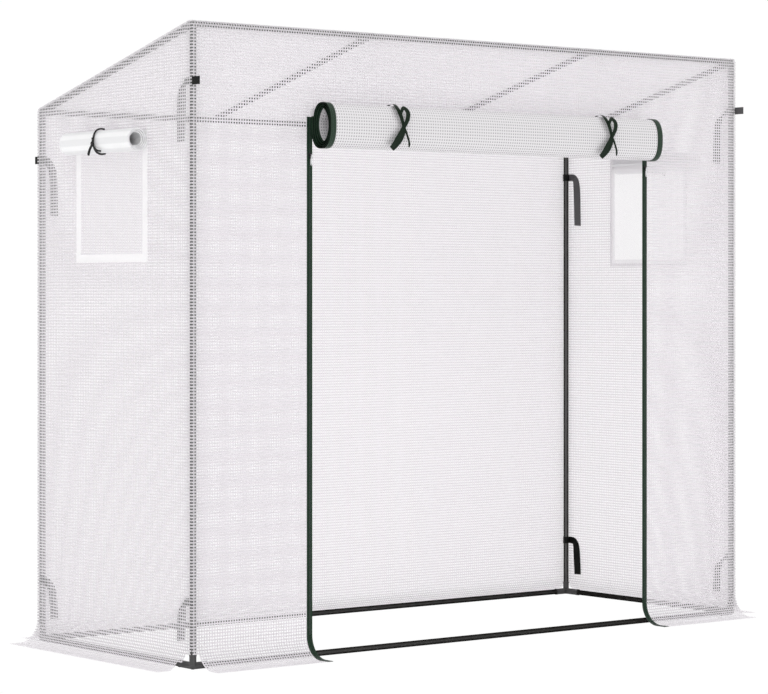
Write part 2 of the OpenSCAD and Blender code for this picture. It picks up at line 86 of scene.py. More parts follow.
class Wall(Enum):
    """Which of the long walls something belongs to."""

    FRONT = -1
    BACK = 1


@dataclass(frozen=True)
class Site:
    """Places that the frame, the cover, the door and the windows share.

    Places are distances from the middle of the footprint, or heights over the ground.

    Attributes:
        post_x: The posts' centre lines, along the front.
        post_y: The same, across the depth.
        wall_x: The side walls' inner faces.
        wall_y: The front and back walls' inner faces.
        film: The film's thickness.
        ridge_z: The top front rail's centre line.
        eave_z: The top back rail's centre line.
        cover_r: The radius at which the roof wraps a rail.
        tube_r: The tubes' radius.
        front_strap_z: The top of the front upper straps.
        back_strap_z: The top of the back upper straps.
        strap_width: The straps' width.
        foot_gap: How far the cover is open beside the bare foot's tube.
        foot_open: How high it is open there.
    """

    post_x: float = 0.992
    post_y: float = 0.3735
    wall_x: float = 1.0023
    wall_y: float = 0.3838
    film: float = 0.0006
    ridge_z: float = 1.6844
    eave_z: float = 1.4914
    cover_r: float = 0.0103
    tube_r: float = 0.008
    front_strap_z: float = 1.5464
    back_strap_z: float = 1.3664
    strap_width: float = 0.021
    foot_gap: float = 0.002
    foot_open: float = 0.04

    @property
    def slope(self) -> float:
        """The roof's slope in degrees."""
        return math.degrees(math.atan2(self.ridge_z - self.eave_z, 2 * self.post_y))

    @property
    def outer_x(self) -> float:
        """The outer face of the side walls."""
        return self.wall_x + self.film

    @property
    def outer_y(self) -> float:
        """The outer face of the front and back walls."""
        return self.wall_y + self.film


SITE = Site()


class Recipe:
    """A node material while it is put together."""

    def __init__(self, name: str) -> None:
        """Starts from a Principled shader.

        Args:
            name: The finish's name.
        """
        self.material = bpy.data.materials.new(name)
        self.material.use_nodes = True
        self.nodes = self.material.node_tree.nodes
        self.shader = self.nodes["Principled BSDF"]
        self.output = self.nodes["Material Output"]

    def add(self, kind: str, **settings: object) -> bpy.types.Node:
        """Adds a node.

        Args:
            kind: The node's type name without its common start.
            **settings: Properties of the node.

        Returns:
            The node.
        """
        node = self.nodes.new("ShaderNode" + kind)
        for name, value in settings.items():
            setattr(node, name, value)
        return node

    def feed(self, socket: bpy.types.NodeSocket, value: object) -> None:
        """Links a socket to another one, or sets its value.

        Args:
            socket: The socket.
            value: A socket to link to it, or its value.
        """
        if isinstance(value, bpy.types.NodeSocket):
            self.material.node_tree.links.new(value, socket)
        else:
            socket.default_value = value

    def set(self, **values: object) -> None:
        """Sets or links the Principled shader's sockets.

        Args:
            **values: Values or sockets by name, with _ for a space.
        """
        for name, value in values.items():
            self.feed(self.shader.inputs[name.replace("_", " ")], value)

    def maths(self, operation: str, *values: object) -> bpy.types.NodeSocket:
        """Adds a Math node.

        Args:
            operation: What it works out.
            *values: Its inputs, sockets or numbers.

        Returns:
            What it puts out.
        """
        node = self.add("Math", operation=operation)
        for socket, value in zip(node.inputs, values):
            self.feed(socket, value)
        return node.outputs[0]

    def place(self) -> bpy.types.NodeSocket:
        """Returns the place on the piece, in metres."""
        return self.add("TexCoord").outputs["Object"]

    def cloth_map(self) -> tuple[bpy.types.NodeSocket, bpy.types.NodeSocket]:
        """Reads a sheet's cloth map.

        Returns:
            The distances across and along the sheet, in metres.
        """
        parts = self.add("SeparateXYZ")
        self.feed(parts.inputs[0], self.add("UVMap", uv_map=CLOTH_MAP).outputs[0])
        return parts.outputs[0], parts.outputs[1]

    def noise(self, scale: float, detail: float = 3.0) -> bpy.types.NodeSocket:
        """Adds a noise over the piece.

        Args:
            scale: Blobs in a metre.
            detail: Octaves.

        Returns:
            The noise from 0 to 1.
        """
        node = self.add("TexNoise")
        self.feed(node.inputs["Vector"], self.place())
        self.feed(node.inputs["Scale"], scale)
        self.feed(node.inputs["Detail"], detail)
        return node.outputs["Fac"]

    def between(self, share: object, low: float, high: float) -> bpy.types.NodeSocket:
        """Scales a share to a range.

        Args:
            share: A number from 0 to 1.
            low: The value at 0.
            high: The value at 1.

        Returns:
            The number in the range.
        """
        node = self.add("MapRange")
        for name, value in (("Value", share), ("To Min", low), ("To Max", high)):
            self.feed(node.inputs[name], value)
        return node.outputs[0]

    def slanted(self, square: float, slant: float, reach: float = 0.32) -> bpy.types.NodeSocket:
        """Returns a gloss that changes with the angle of view.

        Args:
            square: The gloss seen square on.
            slant: The gloss seen at a slant.
            reach: The Layer Weight facing at which it has reached the second value.

        Returns:
            The gloss.
        """
        node = self.add("MapRange")
        self.feed(node.inputs["Value"], self.add("LayerWeight").outputs["Facing"])
        for name, value in (("From Max", reach), ("To Min", square), ("To Max", slant)):
            self.feed(node.inputs[name], value)
        return node.outputs[0]

    def blend(self, share: object, low: Colour, high: Colour) -> bpy.types.NodeSocket:
        """Blends two colours.

        Args:
            share: 0 for the first colour and 1 for the second.
            low: The first colour.
            high: The second colour.

        Returns:
            The colour between them.
        """
        node = self.add("Mix", data_type="RGBA")
        self.feed(node.inputs[0], share)
        self.feed(node.inputs[6], (*low, 1.0))
        self.feed(node.inputs[7], (*high, 1.0))
        return node.outputs[2]

    def bands(self, where: object, pitch: float, width: float) -> bpy.types.NodeSocket:
        """Returns 1 on bands and 0 between them, with soft edges.

        Args:
            where: The distance that the bands lie across.
            pitch: From one band to the next.
            width: A band's width.

        Returns:
            A number from 0 to 1.
        """
        phase = self.maths("FRACT", self.maths("DIVIDE", where, pitch))
        off = self.maths("ABSOLUTE", self.maths("SUBTRACT", phase, 0.5))
        edge, soft = width / pitch / 2, 0.05
        node = self.add("MapRange", interpolation_type="SMOOTHSTEP")
        for name, value in (("Value", off), ("From Min", edge + soft), ("From Max", edge - soft)):
            self.feed(node.inputs[name], value)
        return node.outputs[0]

    def let_through(self, colour: Colour, share: float) -> None:
        """Lets a share of the light come through the piece.

        Args:
            colour: The colour that the light takes.
            share: How much of it comes through.
        """
        through = self.add("BsdfTranslucent")
        self.feed(through.inputs["Color"], (*colour, 1.0))
        mix = self.add("MixShader")
        self.feed(mix.inputs[0], share)
        self.feed(mix.inputs[1], self.shader.outputs[0])
        self.feed(mix.inputs[2], through.outputs[0])
        self.feed(self.output.inputs["Surface"], mix.outputs[0])

    def relief(self, height: object, distance: float, strength: float = 1.0) -> None:
        """Raises the surface.

        Args:
            height: The height, from 0 to 1.
            distance: What a height of 1 stands for, in metres.
            strength: How strongly it shows.
        """
        node = self.add("Bump")
        self.feed(node.inputs["Height"], height)
        self.feed(node.inputs["Distance"], distance)
        self.feed(node.inputs["Strength"], strength)
        self.set(Normal=node.outputs[0])


@dataclass(frozen=True)
class Coated:
    """Metal or plastic with a painted, plated or moulded skin.

    Attributes:
        name: The finish's name.
        colour: Its colour.
        rough: Its roughness.
        metallic: How metallic it is.
        grain: Grains in a metre.
        depth: The grain's depth.
        wear: How much lighter its scuffs are.
        shine: Its gloss seen square on, and at a slant.
    """

    name: str
    colour: Colour
    rough: float
    metallic: float = 0.0
    grain: float = 700.0
    depth: float = 0.00004
    wear: float = 0.25
    shine: tuple[float, float] = (0.5, 0.5)

    def material(self) -> bpy.types.Material:
        """Makes the finish, with fine grain and scuffs.

        Returns:
            The material.
        """
        recipe = Recipe(self.name)
        scuffs = recipe.noise(18.0, 6.0)
        worn = tuple(min(1.0, c * (1 + self.wear) + 0.01) for c in self.colour)
        recipe.set(
            Base_Color=recipe.blend(scuffs, self.colour, worn),
            Roughness=recipe.between(scuffs, self.rough * 0.85, min(1.0, self.rough * 1.2)),
            Metallic=self.metallic,
            Specular_IOR_Level=recipe.slanted(*self.shine),
        )
        recipe.relief(recipe.noise(self.grain, 2.0), self.depth)
        return recipe.material


@dataclass(frozen=True)
class ClearFilm:
    """The see-through film that the cover's threads are laid in.

    Attributes:
        name: The finish's name.
        colour: Its colour.
        light: The colour of its lighter places.
        alpha: How much of the light it stops.
        rough: Its roughness.
    """

    name: str
    colour: Colour = (0.8, 0.79, 0.8)
    light: Colour = (0.86, 0.86, 0.87)
    alpha: float = 0.12
    rough: float = 0.2

    def material(self) -> bpy.types.Material:
        """Makes thin film with a faint unevenness.

        Returns:
            The material.
        """
        recipe = Recipe(self.name)
        recipe.set(
            Base_Color=recipe.blend(recipe.noise(6.0), self.colour, self.light),
            Alpha=self.alpha,
            Roughness=self.rough,
        )
        recipe.relief(recipe.noise(9.0), 0.002, 0.3)
        return recipe.material


@dataclass(frozen=True)
class LaidThread:
    """The white threads in the film, which light shines through.

    Attributes:
        name: The finish's name.
        colour: Their colour.
        glow: The share of the light that comes through them.
    """

    name: str
    colour: Colour = (0.815, 0.79, 0.815)
    glow: float = 0.5

    def material(self) -> bpy.types.Material:
        """Makes thread that mixes what it reflects and what it lets through.

        Returns:
            The material.
        """
        recipe = Recipe(self.name)
        fibre = recipe.noise(1400.0, 2.0)
        low = tuple(c * 0.97 for c in self.colour)
        recipe.set(Base_Color=recipe.blend(fibre, low, self.colour), Roughness=0.45)
        recipe.relief(fibre, 0.0002, 0.5)
        recipe.let_through(self.colour, self.glow)
        return recipe.material


@dataclass(frozen=True)
class RolledCloth:
    """Film with laid threads seen many layers deep: white threads round pale grey cells of painted
    shade.

    Attributes:
        name: The finish's name.
        thread: The colour of the outer layer's threads.
        under: The colour of the next layer's threads, seen through it and painted darker as shade.
        cell_shade: The colour of the cells between both: painted shade from the roll's inside.
        pitch: From one thread to the next.
        width: A thread's width.
    """

    name: str
    thread: Colour = (0.63, 0.615, 0.63)
    under: Colour = (0.44, 0.43, 0.44)
    cell_shade: Colour = (0.25, 0.24, 0.25)
    pitch: float = 0.0083
    width: float = 0.0041

    def material(self) -> bpy.types.Material:
        """Makes the cloth, with the grids of its two outer layers on the cloth map.

        Returns:
            The material.
        """
        recipe = Recipe(self.name)
        across, along = recipe.cloth_map()
        grid = self.grid(recipe, across, along)
        drift = recipe.between(recipe.noise(5.0), -0.004, 0.004)
        shifted, shrunk = recipe.maths("ADD", across, drift), recipe.maths("MULTIPLY", along, 1.013)
        below = self.grid(recipe, shifted, shrunk)
        # Painted shade: the next layer's threads and the cells are darker, for the roll's shaded
        # inside.
        layers = recipe.add("Mix", data_type="RGBA")
        recipe.feed(layers.inputs[0], grid)
        recipe.feed(layers.inputs[6], recipe.blend(below, self.cell_shade, self.under))
        recipe.feed(layers.inputs[7], (*self.thread, 1.0))
        recipe.set(
            Base_Color=layers.outputs[2],
            Roughness=recipe.between(grid, 0.22, 0.42),
            Coat_Weight=0.2,
            Coat_Roughness=0.15,
        )
        recipe.relief(grid, 0.0002)
        return recipe.material

    def grid(self, recipe: Recipe, across: object, along: object) -> bpy.types.NodeSocket:
        """Draws the grid of one layer.

        Args:
            recipe: The material that it is for.
            across: The distance across the cloth.
            along: The distance along it.

        Returns:
            1 on the threads and 0 in the cells.
        """
        return recipe.maths(
            "MAXIMUM",
            recipe.bands(across, self.pitch, self.width),
            recipe.bands(along, self.pitch, self.width),
        )


@dataclass(frozen=True)
class WovenBand:
    """Tape, ribbon or webbing: ribs across it and some lighter warps along it.

    Attributes:
        name: The finish's name.
        colour: The ground's colour.
        light: The colour of the lighter warps, and of the weave's tops as a painted highlight.
        ribs: From one rib to the next.
        lines: Where the lighter warps are across the band.
        line_width: Their width.
        rough: The band's roughness.
        gloss: Its gloss.
    """

    name: str
    colour: Colour
    light: Colour
    ribs: float = 0.0012
    lines: tuple[float, ...] = ()
    line_width: float = 0.0012
    rough: float = 0.5
    gloss: float = 0.25

    def material(self) -> bpy.types.Material:
        """Makes the weave, on the cloth map.

        Returns:
            The material.
        """
        recipe = Recipe(self.name)
        across, along = recipe.cloth_map()
        rib = recipe.bands(along, self.ribs, self.ribs * 0.5)
        warp = recipe.bands(across, self.ribs * 0.8, self.ribs * 0.45)
        weave = recipe.maths("MULTIPLY", rib, warp)
        # Painted highlight on the weave's raised tops; the lighter warps are the band's own
        # pattern.
        top_highlight_and_warps = recipe.maths("MULTIPLY", weave, 0.35)
        for line in self.lines:
            off = recipe.maths("ABSOLUTE", recipe.maths("SUBTRACT", across, line))
            near = recipe.maths("LESS_THAN", off, self.line_width / 2)
            top_highlight_and_warps = recipe.maths("MAXIMUM", top_highlight_and_warps, near)
        tone = recipe.maths("MULTIPLY", top_highlight_and_warps, recipe.between(recipe.noise(60.0), 0.7, 1.0))
        recipe.set(
            Base_Color=recipe.blend(tone, self.colour, self.light),
            Roughness=self.rough,
            Specular_IOR_Level=self.gloss,
        )
        recipe.relief(weave, 0.00025)
        return recipe.material


@dataclass(frozen=True)
class PlainCloth:
    """White cloth or film without a grid: fine weave and soft lengthwise painted crease shade.

    Attributes:
        name: The finish's name.
        colour: Its colour.
        shade: The colour of its darker places.
        weave: From one thread of the weave to the next.
        rough: Its roughness.
        shade_band_pitch: The spacing of the soft creases whose shade is painted on, or 0 for none.
        glow: The share of the light that comes through it.
    """

    name: str
    colour: Colour
    shade: Colour
    weave: float = 0.0011
    rough: float = 0.4
    shade_band_pitch: float = 0.0
    glow: float = 0.35

    def material(self) -> bpy.types.Material:
        """Makes the cloth, on the cloth map.

        Returns:
            The material.
        """
        recipe = Recipe(self.name)
        across, along = recipe.cloth_map()
        weave = recipe.maths(
            "MULTIPLY",
            recipe.bands(across, self.weave, self.weave * 0.6),
            recipe.bands(along, self.weave, self.weave * 0.6),
        )
        tone = recipe.between(recipe.noise(25.0), 0.75, 1.0)
        # Painted shade: darker bands where the creases lie.
        if self.shade_band_pitch:
            crease_shade = recipe.bands(along, self.shade_band_pitch, self.shade_band_pitch * 0.45)
            tone = recipe.maths("MULTIPLY", tone, recipe.between(crease_shade, 0.35, 1.0))
        recipe.set(Base_Color=recipe.blend(tone, self.shade, self.colour), Roughness=self.rough)
        recipe.relief(weave, 0.00008)
        recipe.let_through(self.colour, self.glow)
        return recipe.material


@dataclass(frozen=True)
class HangingGrid:
    """The film with its threads where it hangs from the door or a window and unrolls.

    The grid stays at its true scale on the piece's own X, Y and Z, also when it is drawn out.

    Attributes:
        name: The finish's name.
        along: The axis that the sheet is wide along.
        thread: The threads' colour.
        pitch: From one thread to the next.
        width: A thread's width.
        clear: How much of the light the film between the threads stops.
    """

    name: str
    along: int
    thread: Colour = (0.73, 0.71, 0.73)
    pitch: float = 0.0083
    width: float = 0.0039
    clear: float = 0.06

    def material(self) -> bpy.types.Material:
        """Makes film that is nearly clear between its threads.

        Returns:
            The material.
        """
        recipe = Recipe(self.name)
        parts = recipe.add("SeparateXYZ")
        recipe.feed(parts.inputs[0], recipe.place())
        grid = recipe.maths(
            "MAXIMUM",
            recipe.bands(parts.outputs[self.along], self.pitch, self.width),
            recipe.bands(parts.outputs[2], self.pitch, self.width),
        )
        fibre = recipe.noise(1400.0, 2.0)
        recipe.set(
            Base_Color=recipe.blend(fibre, tuple(c * 0.97 for c in self.thread), self.thread),
            Alpha=recipe.between(grid, self.clear, 0.97),
            Roughness=0.4,
        )
        recipe.relief(grid, 0.0002)
        return recipe.material


@dataclass(frozen=True)
class Finishes:
    """Every finish of the greenhouse, made once."""

    tube: bpy.types.Material
    connector: bpy.types.Material
    film: bpy.types.Material
    thread: bpy.types.Material
    rolled: bpy.types.Material
    door_hang: bpy.types.Material
    window_hang: bpy.types.Material
    shade: bpy.types.Material
    net: bpy.types.Material
    border: bpy.types.Material
    binding: bpy.types.Material
    binding_end: bpy.types.Material
    tape: bpy.types.Material
    ribbon: bpy.types.Material
    webbing: bpy.types.Material
    webbing_back: bpy.types.Material
    cord: bpy.types.Material
    chain: bpy.types.Material
    slider: bpy.types.Material
    pull: bpy.types.Material

    @classmethod
    def make(cls) -> "Finishes":
        """Makes every finish.

        Returns:
            The set of finishes.
        """
        green, leaf = (0.005, 0.019, 0.009), (0.03, 0.07, 0.04)
        return cls(
            tube=Coated(
                "powder_coated_tube", (0.008, 0.0074, 0.0066), 0.33, shine=(1.0, 0.0)
            ).material(),
            connector=Coated("moulded_connector", (0.03, 0.03, 0.03), 0.5, grain=420.0).material(),
            film=ClearFilm("clear_film").material(),
            thread=LaidThread("laid_thread").material(),
            rolled=RolledCloth("rolled_cloth").material(),
            door_hang=HangingGrid("door_grid", 0).material(),
            window_hang=PlainCloth(
                "window_hang", (0.88, 0.88, 0.89), (0.8, 0.8, 0.81)
            ).material(),
            shade=PlainCloth(
                "shade_film", (0.85, 0.85, 0.855), (0.7, 0.7, 0.71), shade_band_pitch=0.031, glow=0.06
            ).material(),
            net=PlainCloth("window_net", (0.81, 0.79, 0.81), (0.74, 0.72, 0.74)).material(),
            border=PlainCloth(
                "white_border", (0.965, 0.96, 0.965), (0.935, 0.93, 0.935), glow=0.42
            ).material(),
            binding=WovenBand(
                "green_binding", green, leaf, lines=(-0.006, 0.0, 0.006), rough=0.38
            ).material(),
            # A darker copy of the binding for the roll's end faces: painted shade between the
            # turns.
            binding_end=WovenBand(
                "green_binding_end", (0.0015, 0.004, 0.002), green, gloss=0.05
            ).material(),
            tape=WovenBand(
                "green_zip_tape", green, leaf, lines=(-0.0055, 0.0055), rough=0.42, gloss=0.14
            ).material(),
            ribbon=WovenBand(
                "green_ribbon", (0.004, 0.012, 0.005), (0.012, 0.03, 0.015), gloss=0.12
            ).material(),
            webbing=WovenBand(
                "strap_webbing",
                (0.004, 0.0045, 0.004),
                (0.014, 0.015, 0.014),
                ribs=0.0016,
                gloss=0.1,
            ).material(),
            # A lighter copy of the webbing for the upper straps' inner faces: painted light.
            webbing_back=WovenBand(
                "strap_inside",
                (0.088, 0.086, 0.089),
                (0.14, 0.138, 0.142),
                ribs=0.0016,
                gloss=0.1,
            ).material(),
            cord=Coated(
                "black_cord", (0.004, 0.004, 0.004), 0.8, grain=900.0, depth=0.0002
            ).material(),
            chain=Coated("zip_chain", (0.02, 0.035, 0.026), 0.3).material(),
            slider=Coated("black_slider", (0.012, 0.012, 0.012), 0.28, 0.3).material(),
            pull=Coated("bright_pull", (0.6, 0.6, 0.61), 0.3, 0.9).material(),
        )


class Bench:
    """The hand tools. Each works on one piece, which it selects first."""

    @staticmethod
    def hold(piece: bpy.types.Object | None) -> None:
        """Leaves only this piece selected and active, in object mode.

        Args:
            piece: The piece, or None to select nothing.
        """
        if bpy.context.mode != "OBJECT":
            bpy.ops.object.mode_set(mode="OBJECT")
        bpy.ops.object.select_all(action="DESELECT")
        if piece is not None:
            piece.select_set(True)
            bpy.context.view_layer.objects.active = piece

    @staticmethod
    def edit(piece: bpy.types.Object, everything: bool = True) -> None:
        """Goes into edit mode on a piece.

        Args:
            piece: The piece.
            everything: Whether all of it is selected, or only what is already picked.
        """
        Bench.hold(piece)
        bpy.ops.object.mode_set(mode="EDIT")
        if everything:
            bpy.ops.mesh.select_all(action="SELECT")

    @staticmethod
    def done() -> None:
        """Goes back to object mode."""
        bpy.ops.object.mode_set(mode="OBJECT")

    @staticmethod
    def pick(piece: bpy.types.Object, vertices: set[int], faces: set[int] | None = None) -> None:
        """Picks vertices or faces for the next edit.

        Args:
            piece: The piece.
            vertices: The vertices to pick.
            faces: The faces to pick, where the edit works on faces.
        """
        Bench.hold(piece)
        mesh = piece.data
        bpy.context.tool_settings.mesh_select_mode = (faces is None, False, faces is not None)
        picked = faces or set()
        corners = {corner for face in picked for corner in mesh.polygons[face].vertices}
        for elements, wanted in (
            (mesh.polygons, picked),
            (mesh.edges, set()),
            (mesh.vertices, vertices | corners),
        ):
            elements.foreach_set("select", [index in wanted for index in range(len(elements))])

    @staticmethod
    def pull_sheet(
        name: str, line: list[Vector], halves: list[Vector], outward: Vector
    ) -> bpy.types.Object:
        """Starts a sheet as a plane and pulls its far edge along a line.

        Args:
            name: The piece's name.
            line: The points down the sheet's middle.
            halves: Half the sheet's width at each point, or one for all.
            outward: The way that the first face looks.

        Returns:
            The sheet, with a cloth map in metres.
        """
        if len(halves) == 1:
            halves = halves * len(line)
        Bench.hold(None)
        bpy.ops.mesh.primitive_plane_add(size=0.01, calc_uvs=False, location=(0.0, 0.0, 0.0))
        sheet = bpy.context.active_object
        sheet.name = sheet.data.name = name
        for index, vertex in enumerate(sheet.data.vertices):
            hand = 1 if index % 2 else -1
            vertex.co = line[index // 2] + halves[index // 2] * hand
        Bench.pick(sheet, {2, 3})
        Bench.edit(sheet, everything=False)
        for here, there in zip(line[1:], line[2:]):
            bpy.ops.mesh.extrude_region_move(TRANSFORM_OT_translate={"value": there - here})
        Bench.done()
        distances = [0.0]
        for here, there in zip(line, line[1:]):
            distances.append(distances[-1] + (there - here).length)
        mesh = sheet.data
        hands = []
        for index, vertex in enumerate(mesh.vertices):
            row = index // 2
            hand = 1 if (vertex.co - line[row]).dot(halves[1] if row else halves[0]) > 0 else -1
            vertex.co = line[row] + halves[row] * hand
            hands.append(hand)
        cloth = mesh.uv_layers.new(name=CLOTH_MAP)
        for loop in mesh.loops:
            row = loop.vertex_index // 2
            across = hands[loop.vertex_index] * halves[row].length
            cloth.data[loop.index].uv = (across, distances[row])
        mesh.update()
        if mesh.polygons[0].normal.dot(outward) < 0:
            Bench.edit(sheet)
            bpy.ops.mesh.flip_normals()
            Bench.done()
        return sheet

    @staticmethod
    def shape_with(piece: bpy.types.Object, kind: str, **settings: object) -> None:
        """Adds a modifier, sets it and applies it.

        Args:
            piece: The piece.
            kind: The modifier's type.
            **settings: Its settings.
        """
        Bench.hold(piece)
        modifier = piece.modifiers.new(kind.title(), kind)
        for name, value in settings.items():
            setattr(modifier, name, value)
        bpy.ops.object.modifier_apply(modifier=modifier.name)

    @staticmethod
    def repeat(piece: bpy.types.Object, step: Vector, count: int) -> None:
        """Lays copies of a piece in a row.

        Args:
            piece: The piece.
            step: The way from one copy to the next.
            count: How many there are.
        """
        Bench.shape_with(
            piece,
            "ARRAY",
            use_relative_offset=False,
            use_constant_offset=True,
            constant_offset_displace=step,
            count=count,
        )

    @staticmethod
    def thicken(
        piece: bpy.types.Object, thickness: float, offset: float = 0.0, back: int = 0
    ) -> None:
        """Gives a sheet its thickness.

        Args:
            piece: The sheet.
            thickness: Its thickness.
            offset: 0 for both sides alike, 1 for outwards.
            back: 1 where its back has the second of its materials.
        """
        Bench.shape_with(
            piece,
            "SOLIDIFY",
            thickness=thickness,
            offset=offset,
            use_even_offset=True,
            material_offset=back,
        )

    @staticmethod
    def slice(piece: bpy.types.Object, at: Vector, away: Vector, clear: bool = False) -> None:
        """Cuts a piece at a plane.

        Args:
            piece: The piece.
            at: A point of the plane.
            away: The way that the plane looks.
            clear: Whether what lies on that side is cleared.
        """
        Bench.edit(piece)
        bpy.ops.mesh.bisect(plane_co=at, plane_no=away, clear_outer=clear, use_fill=False)
        Bench.done()

    @staticmethod
    def remove_faces(piece: bpy.types.Object, unwanted: set[int]) -> None:
        """Deletes faces.

        Args:
            piece: The piece.
            unwanted: The faces' numbers.
        """
        Bench.pick(piece, set(), unwanted)
        Bench.edit(piece, everything=False)
        bpy.ops.mesh.delete(type="FACE")
        Bench.done()

    @staticmethod
    def cut_out(piece: bpy.types.Object, low: Vector, high: Vector) -> None:
        """Cuts a box-shaped hole through the piece.

        Args:
            piece: The sheet.
            low: The box's low corner; a side at -ENDLESS isn't cut.
            high: Its high corner; a side at ENDLESS isn't cut.
        """
        for corner in (low, high):
            for axis in range(3):
                if abs(corner[axis]) < ENDLESS:
                    Bench.slice(piece, corner, Vector([float(k == axis) for k in range(3)]))
        inside = {
            face.index
            for face in piece.data.polygons
            if all(low[k] < face.center[k] < high[k] for k in range(3))
        }
        if inside:
            Bench.remove_faces(piece, inside)

    @staticmethod
    def join(pieces: list[bpy.types.Object], name: str) -> bpy.types.Object:
        """Makes one piece of several.

        Args:
            pieces: The pieces. The first takes in the others.
            name: The whole's name.

        Returns:
            The whole.
        """
        Bench.hold(pieces[0])
        for piece in pieces:
            piece.select_set(True)
        if len(pieces) > 1:
            bpy.ops.object.join()
        whole = bpy.context.active_object
        whole.name = whole.data.name = name
        return whole

    @staticmethod
    def mirrored(piece: bpy.types.Object, name: str) -> bpy.types.Object:
        """Copies a piece, with its own mesh, to the greenhouse's other end.

        Args:
            piece: The piece.
            name: The copy's name.

        Returns:
            The copy.
        """
        Bench.hold(piece)
        bpy.ops.object.duplicate()
        twin = bpy.context.active_object
        twin.name = twin.data.name = name
        Bench.edit(twin)
        bpy.ops.transform.resize(value=(-1.0, 1.0, 1.0), center_override=(0.0, 0.0, 0.0))
        bpy.ops.mesh.flip_normals()
        Bench.done()
        return twin

    @staticmethod
    def smooth(piece: bpy.types.Object, angle: float = 40.0) -> None:
        """Shades the piece smoothly where its faces meet at less than an angle in degrees."""
        Bench.hold(piece)
        bpy.ops.object.shade_smooth_by_angle(angle=math.radians(angle))

    @staticmethod
    def rope(name: str, points: list[Vector], radius: float) -> bpy.types.Object:
        """Makes a cord along a smooth curve.

        Args:
            name: The cord's name.
            points: The points that it goes through.
            radius: Half its thickness.

        Returns:
            The cord, as a mesh.
        """
        Bench.hold(None)
        bpy.ops.curve.primitive_bezier_curve_add(location=(0.0, 0.0, 0.0))
        rope = bpy.context.active_object
        spline = rope.data.splines[0]
        spline.bezier_points.add(len(points) - 2)
        for knot, point in zip(spline.bezier_points, points):
            knot.co = point
            knot.handle_left_type = knot.handle_right_type = "AUTO"
        rope.data.bevel_depth = radius
        rope.data.bevel_resolution = 3
        rope.data.resolution_u = 6
        rope.data.use_fill_caps = True
        bpy.ops.object.convert(target="MESH")
        rope = bpy.context.active_object
        rope.name = rope.data.name = name
        return rope

    @staticmethod
    def knot(at: Vector, radius: float) -> bpy.types.Object:
        """Makes a small ball for a knot.

        Args:
            at: Its middle.
            radius: Its radius.

        Returns:
            The ball.
        """
        Bench.hold(None)
        bpy.ops.mesh.primitive_uv_sphere_add(segments=16, ring_count=10, radius=radius, location=at)
        bpy.ops.object.transform_apply(location=True, rotation=True, scale=True)
        return bpy.context.active_object

    @staticmethod
    def hand_in(
        piece: bpy.types.Object,
        finish: bpy.types.Material | None,
        slot: str,
        body: str,
        nodes: tuple[str, ...] = (),
    ) -> bpy.types.Object:
        """Dresses a finished piece and fixes it to its body.

        Args:
            piece: The piece, in place.
            finish: Its material, or None where it has its own.
            slot: Not used.
            body: The body that it rides on, or "" where it blends.
            nodes: The CAD nodes that it stands for.

        Returns:
            The piece.
        """
        if finish is not None:
            piece.data.materials.clear()
            piece.data.materials.append(finish)
        if nodes:
            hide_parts(*nodes)
        if body:
            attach(piece, body)
        log.info("%s: %d faces", piece.name, len(piece.data.polygons))
        return piece


def arc(centre: Point, radius: float, start: float, end: float, steps: int) -> list[Point]:
    """Walks along an arc.

    Args:
        centre: Its centre.
        radius: Its radius.
        start: The angle where it starts, in degrees.
        end: The angle where it ends.
        steps: How many steps it is cut into.

    Returns:
        Its points.
    """
    turns = [math.radians(start + (end - start) * step / steps) for step in range(steps + 1)]
    x, y = centre
    return [(x + radius * math.cos(turn), y + radius * math.sin(turn)) for turn in turns]


def at_distances(line: list[Vector], distances: list[float]) -> list[Vector]:
    """Finds the points at some distances along a line.

    Args:
        line: The line's points.
        distances: The distances, in order.

    Returns:
        The points.
    """
    found, leg, walked = [], 0, 0.0
    for distance in distances:
        while leg < len(line) - 2 and walked + (line[leg + 1] - line[leg]).length < distance:
            walked += (line[leg + 1] - line[leg]).length
            leg += 1
        length = (line[leg + 1] - line[leg]).length
        found.append(line[leg].lerp(line[leg + 1], min(1.0, (distance - walked) / length)))
    return found


def length_of(line: list[Vector]) -> float:
    """Returns a line's length."""
    return sum((there - here).length for here, there in zip(line, line[1:]))


def unrolled(share: float) -> float:
    """Returns where a row of a hanging sheet lies at rest.

    The rows lie so that they spread evenly when the sheet is drawn out.

    Args:
        share: The row's place when drawn out, from 0 at the top to 1 at the lower edge.

    Returns:
        Its place at rest, from 0 to 1.
    """
    return 0.5 - math.sin(math.asin(1 - 2 * share) / 3)


def eased(stops: list[tuple[float, ...]], steps: int = 5) -> list[tuple[float, ...]]:
    """Puts smooth steps between stops, on a curve that goes through them.

    Args:
        stops: The values at each stop.
        steps: How many steps there are from one stop to the next.

    Returns:
        The values at every step.
    """
    rounded = []
    for index in range(len(stops) - 1):
        near = [stops[min(len(stops) - 1, max(0, index + k))] for k in (-1, 0, 1, 2)]
        for step in range(steps):
            share = step / steps
            rounded.append(tuple(curve(share, *values) for values in zip(*near)))
    return [*rounded, stops[-1]]


def curve(share: float, before: float, here: float, there: float, after: float) -> float:
    """Follows one value on its way from one stop to the next, smoothly past both.

    Args:
        share: How far it is from here to there, from 0 to 1.
        before: The value at the stop before here.
        here: The value here.
        there: The value there.
        after: The value at the stop after there.

    Returns:
        The value.
    """
    straight = (there - before) * share
    square = (2 * before - 5 * here + 4 * there - after) * share**2
    cube = (3 * here - before - 3 * there + after) * share**3
    return 0.5 * (2 * here + straight + square + cube)


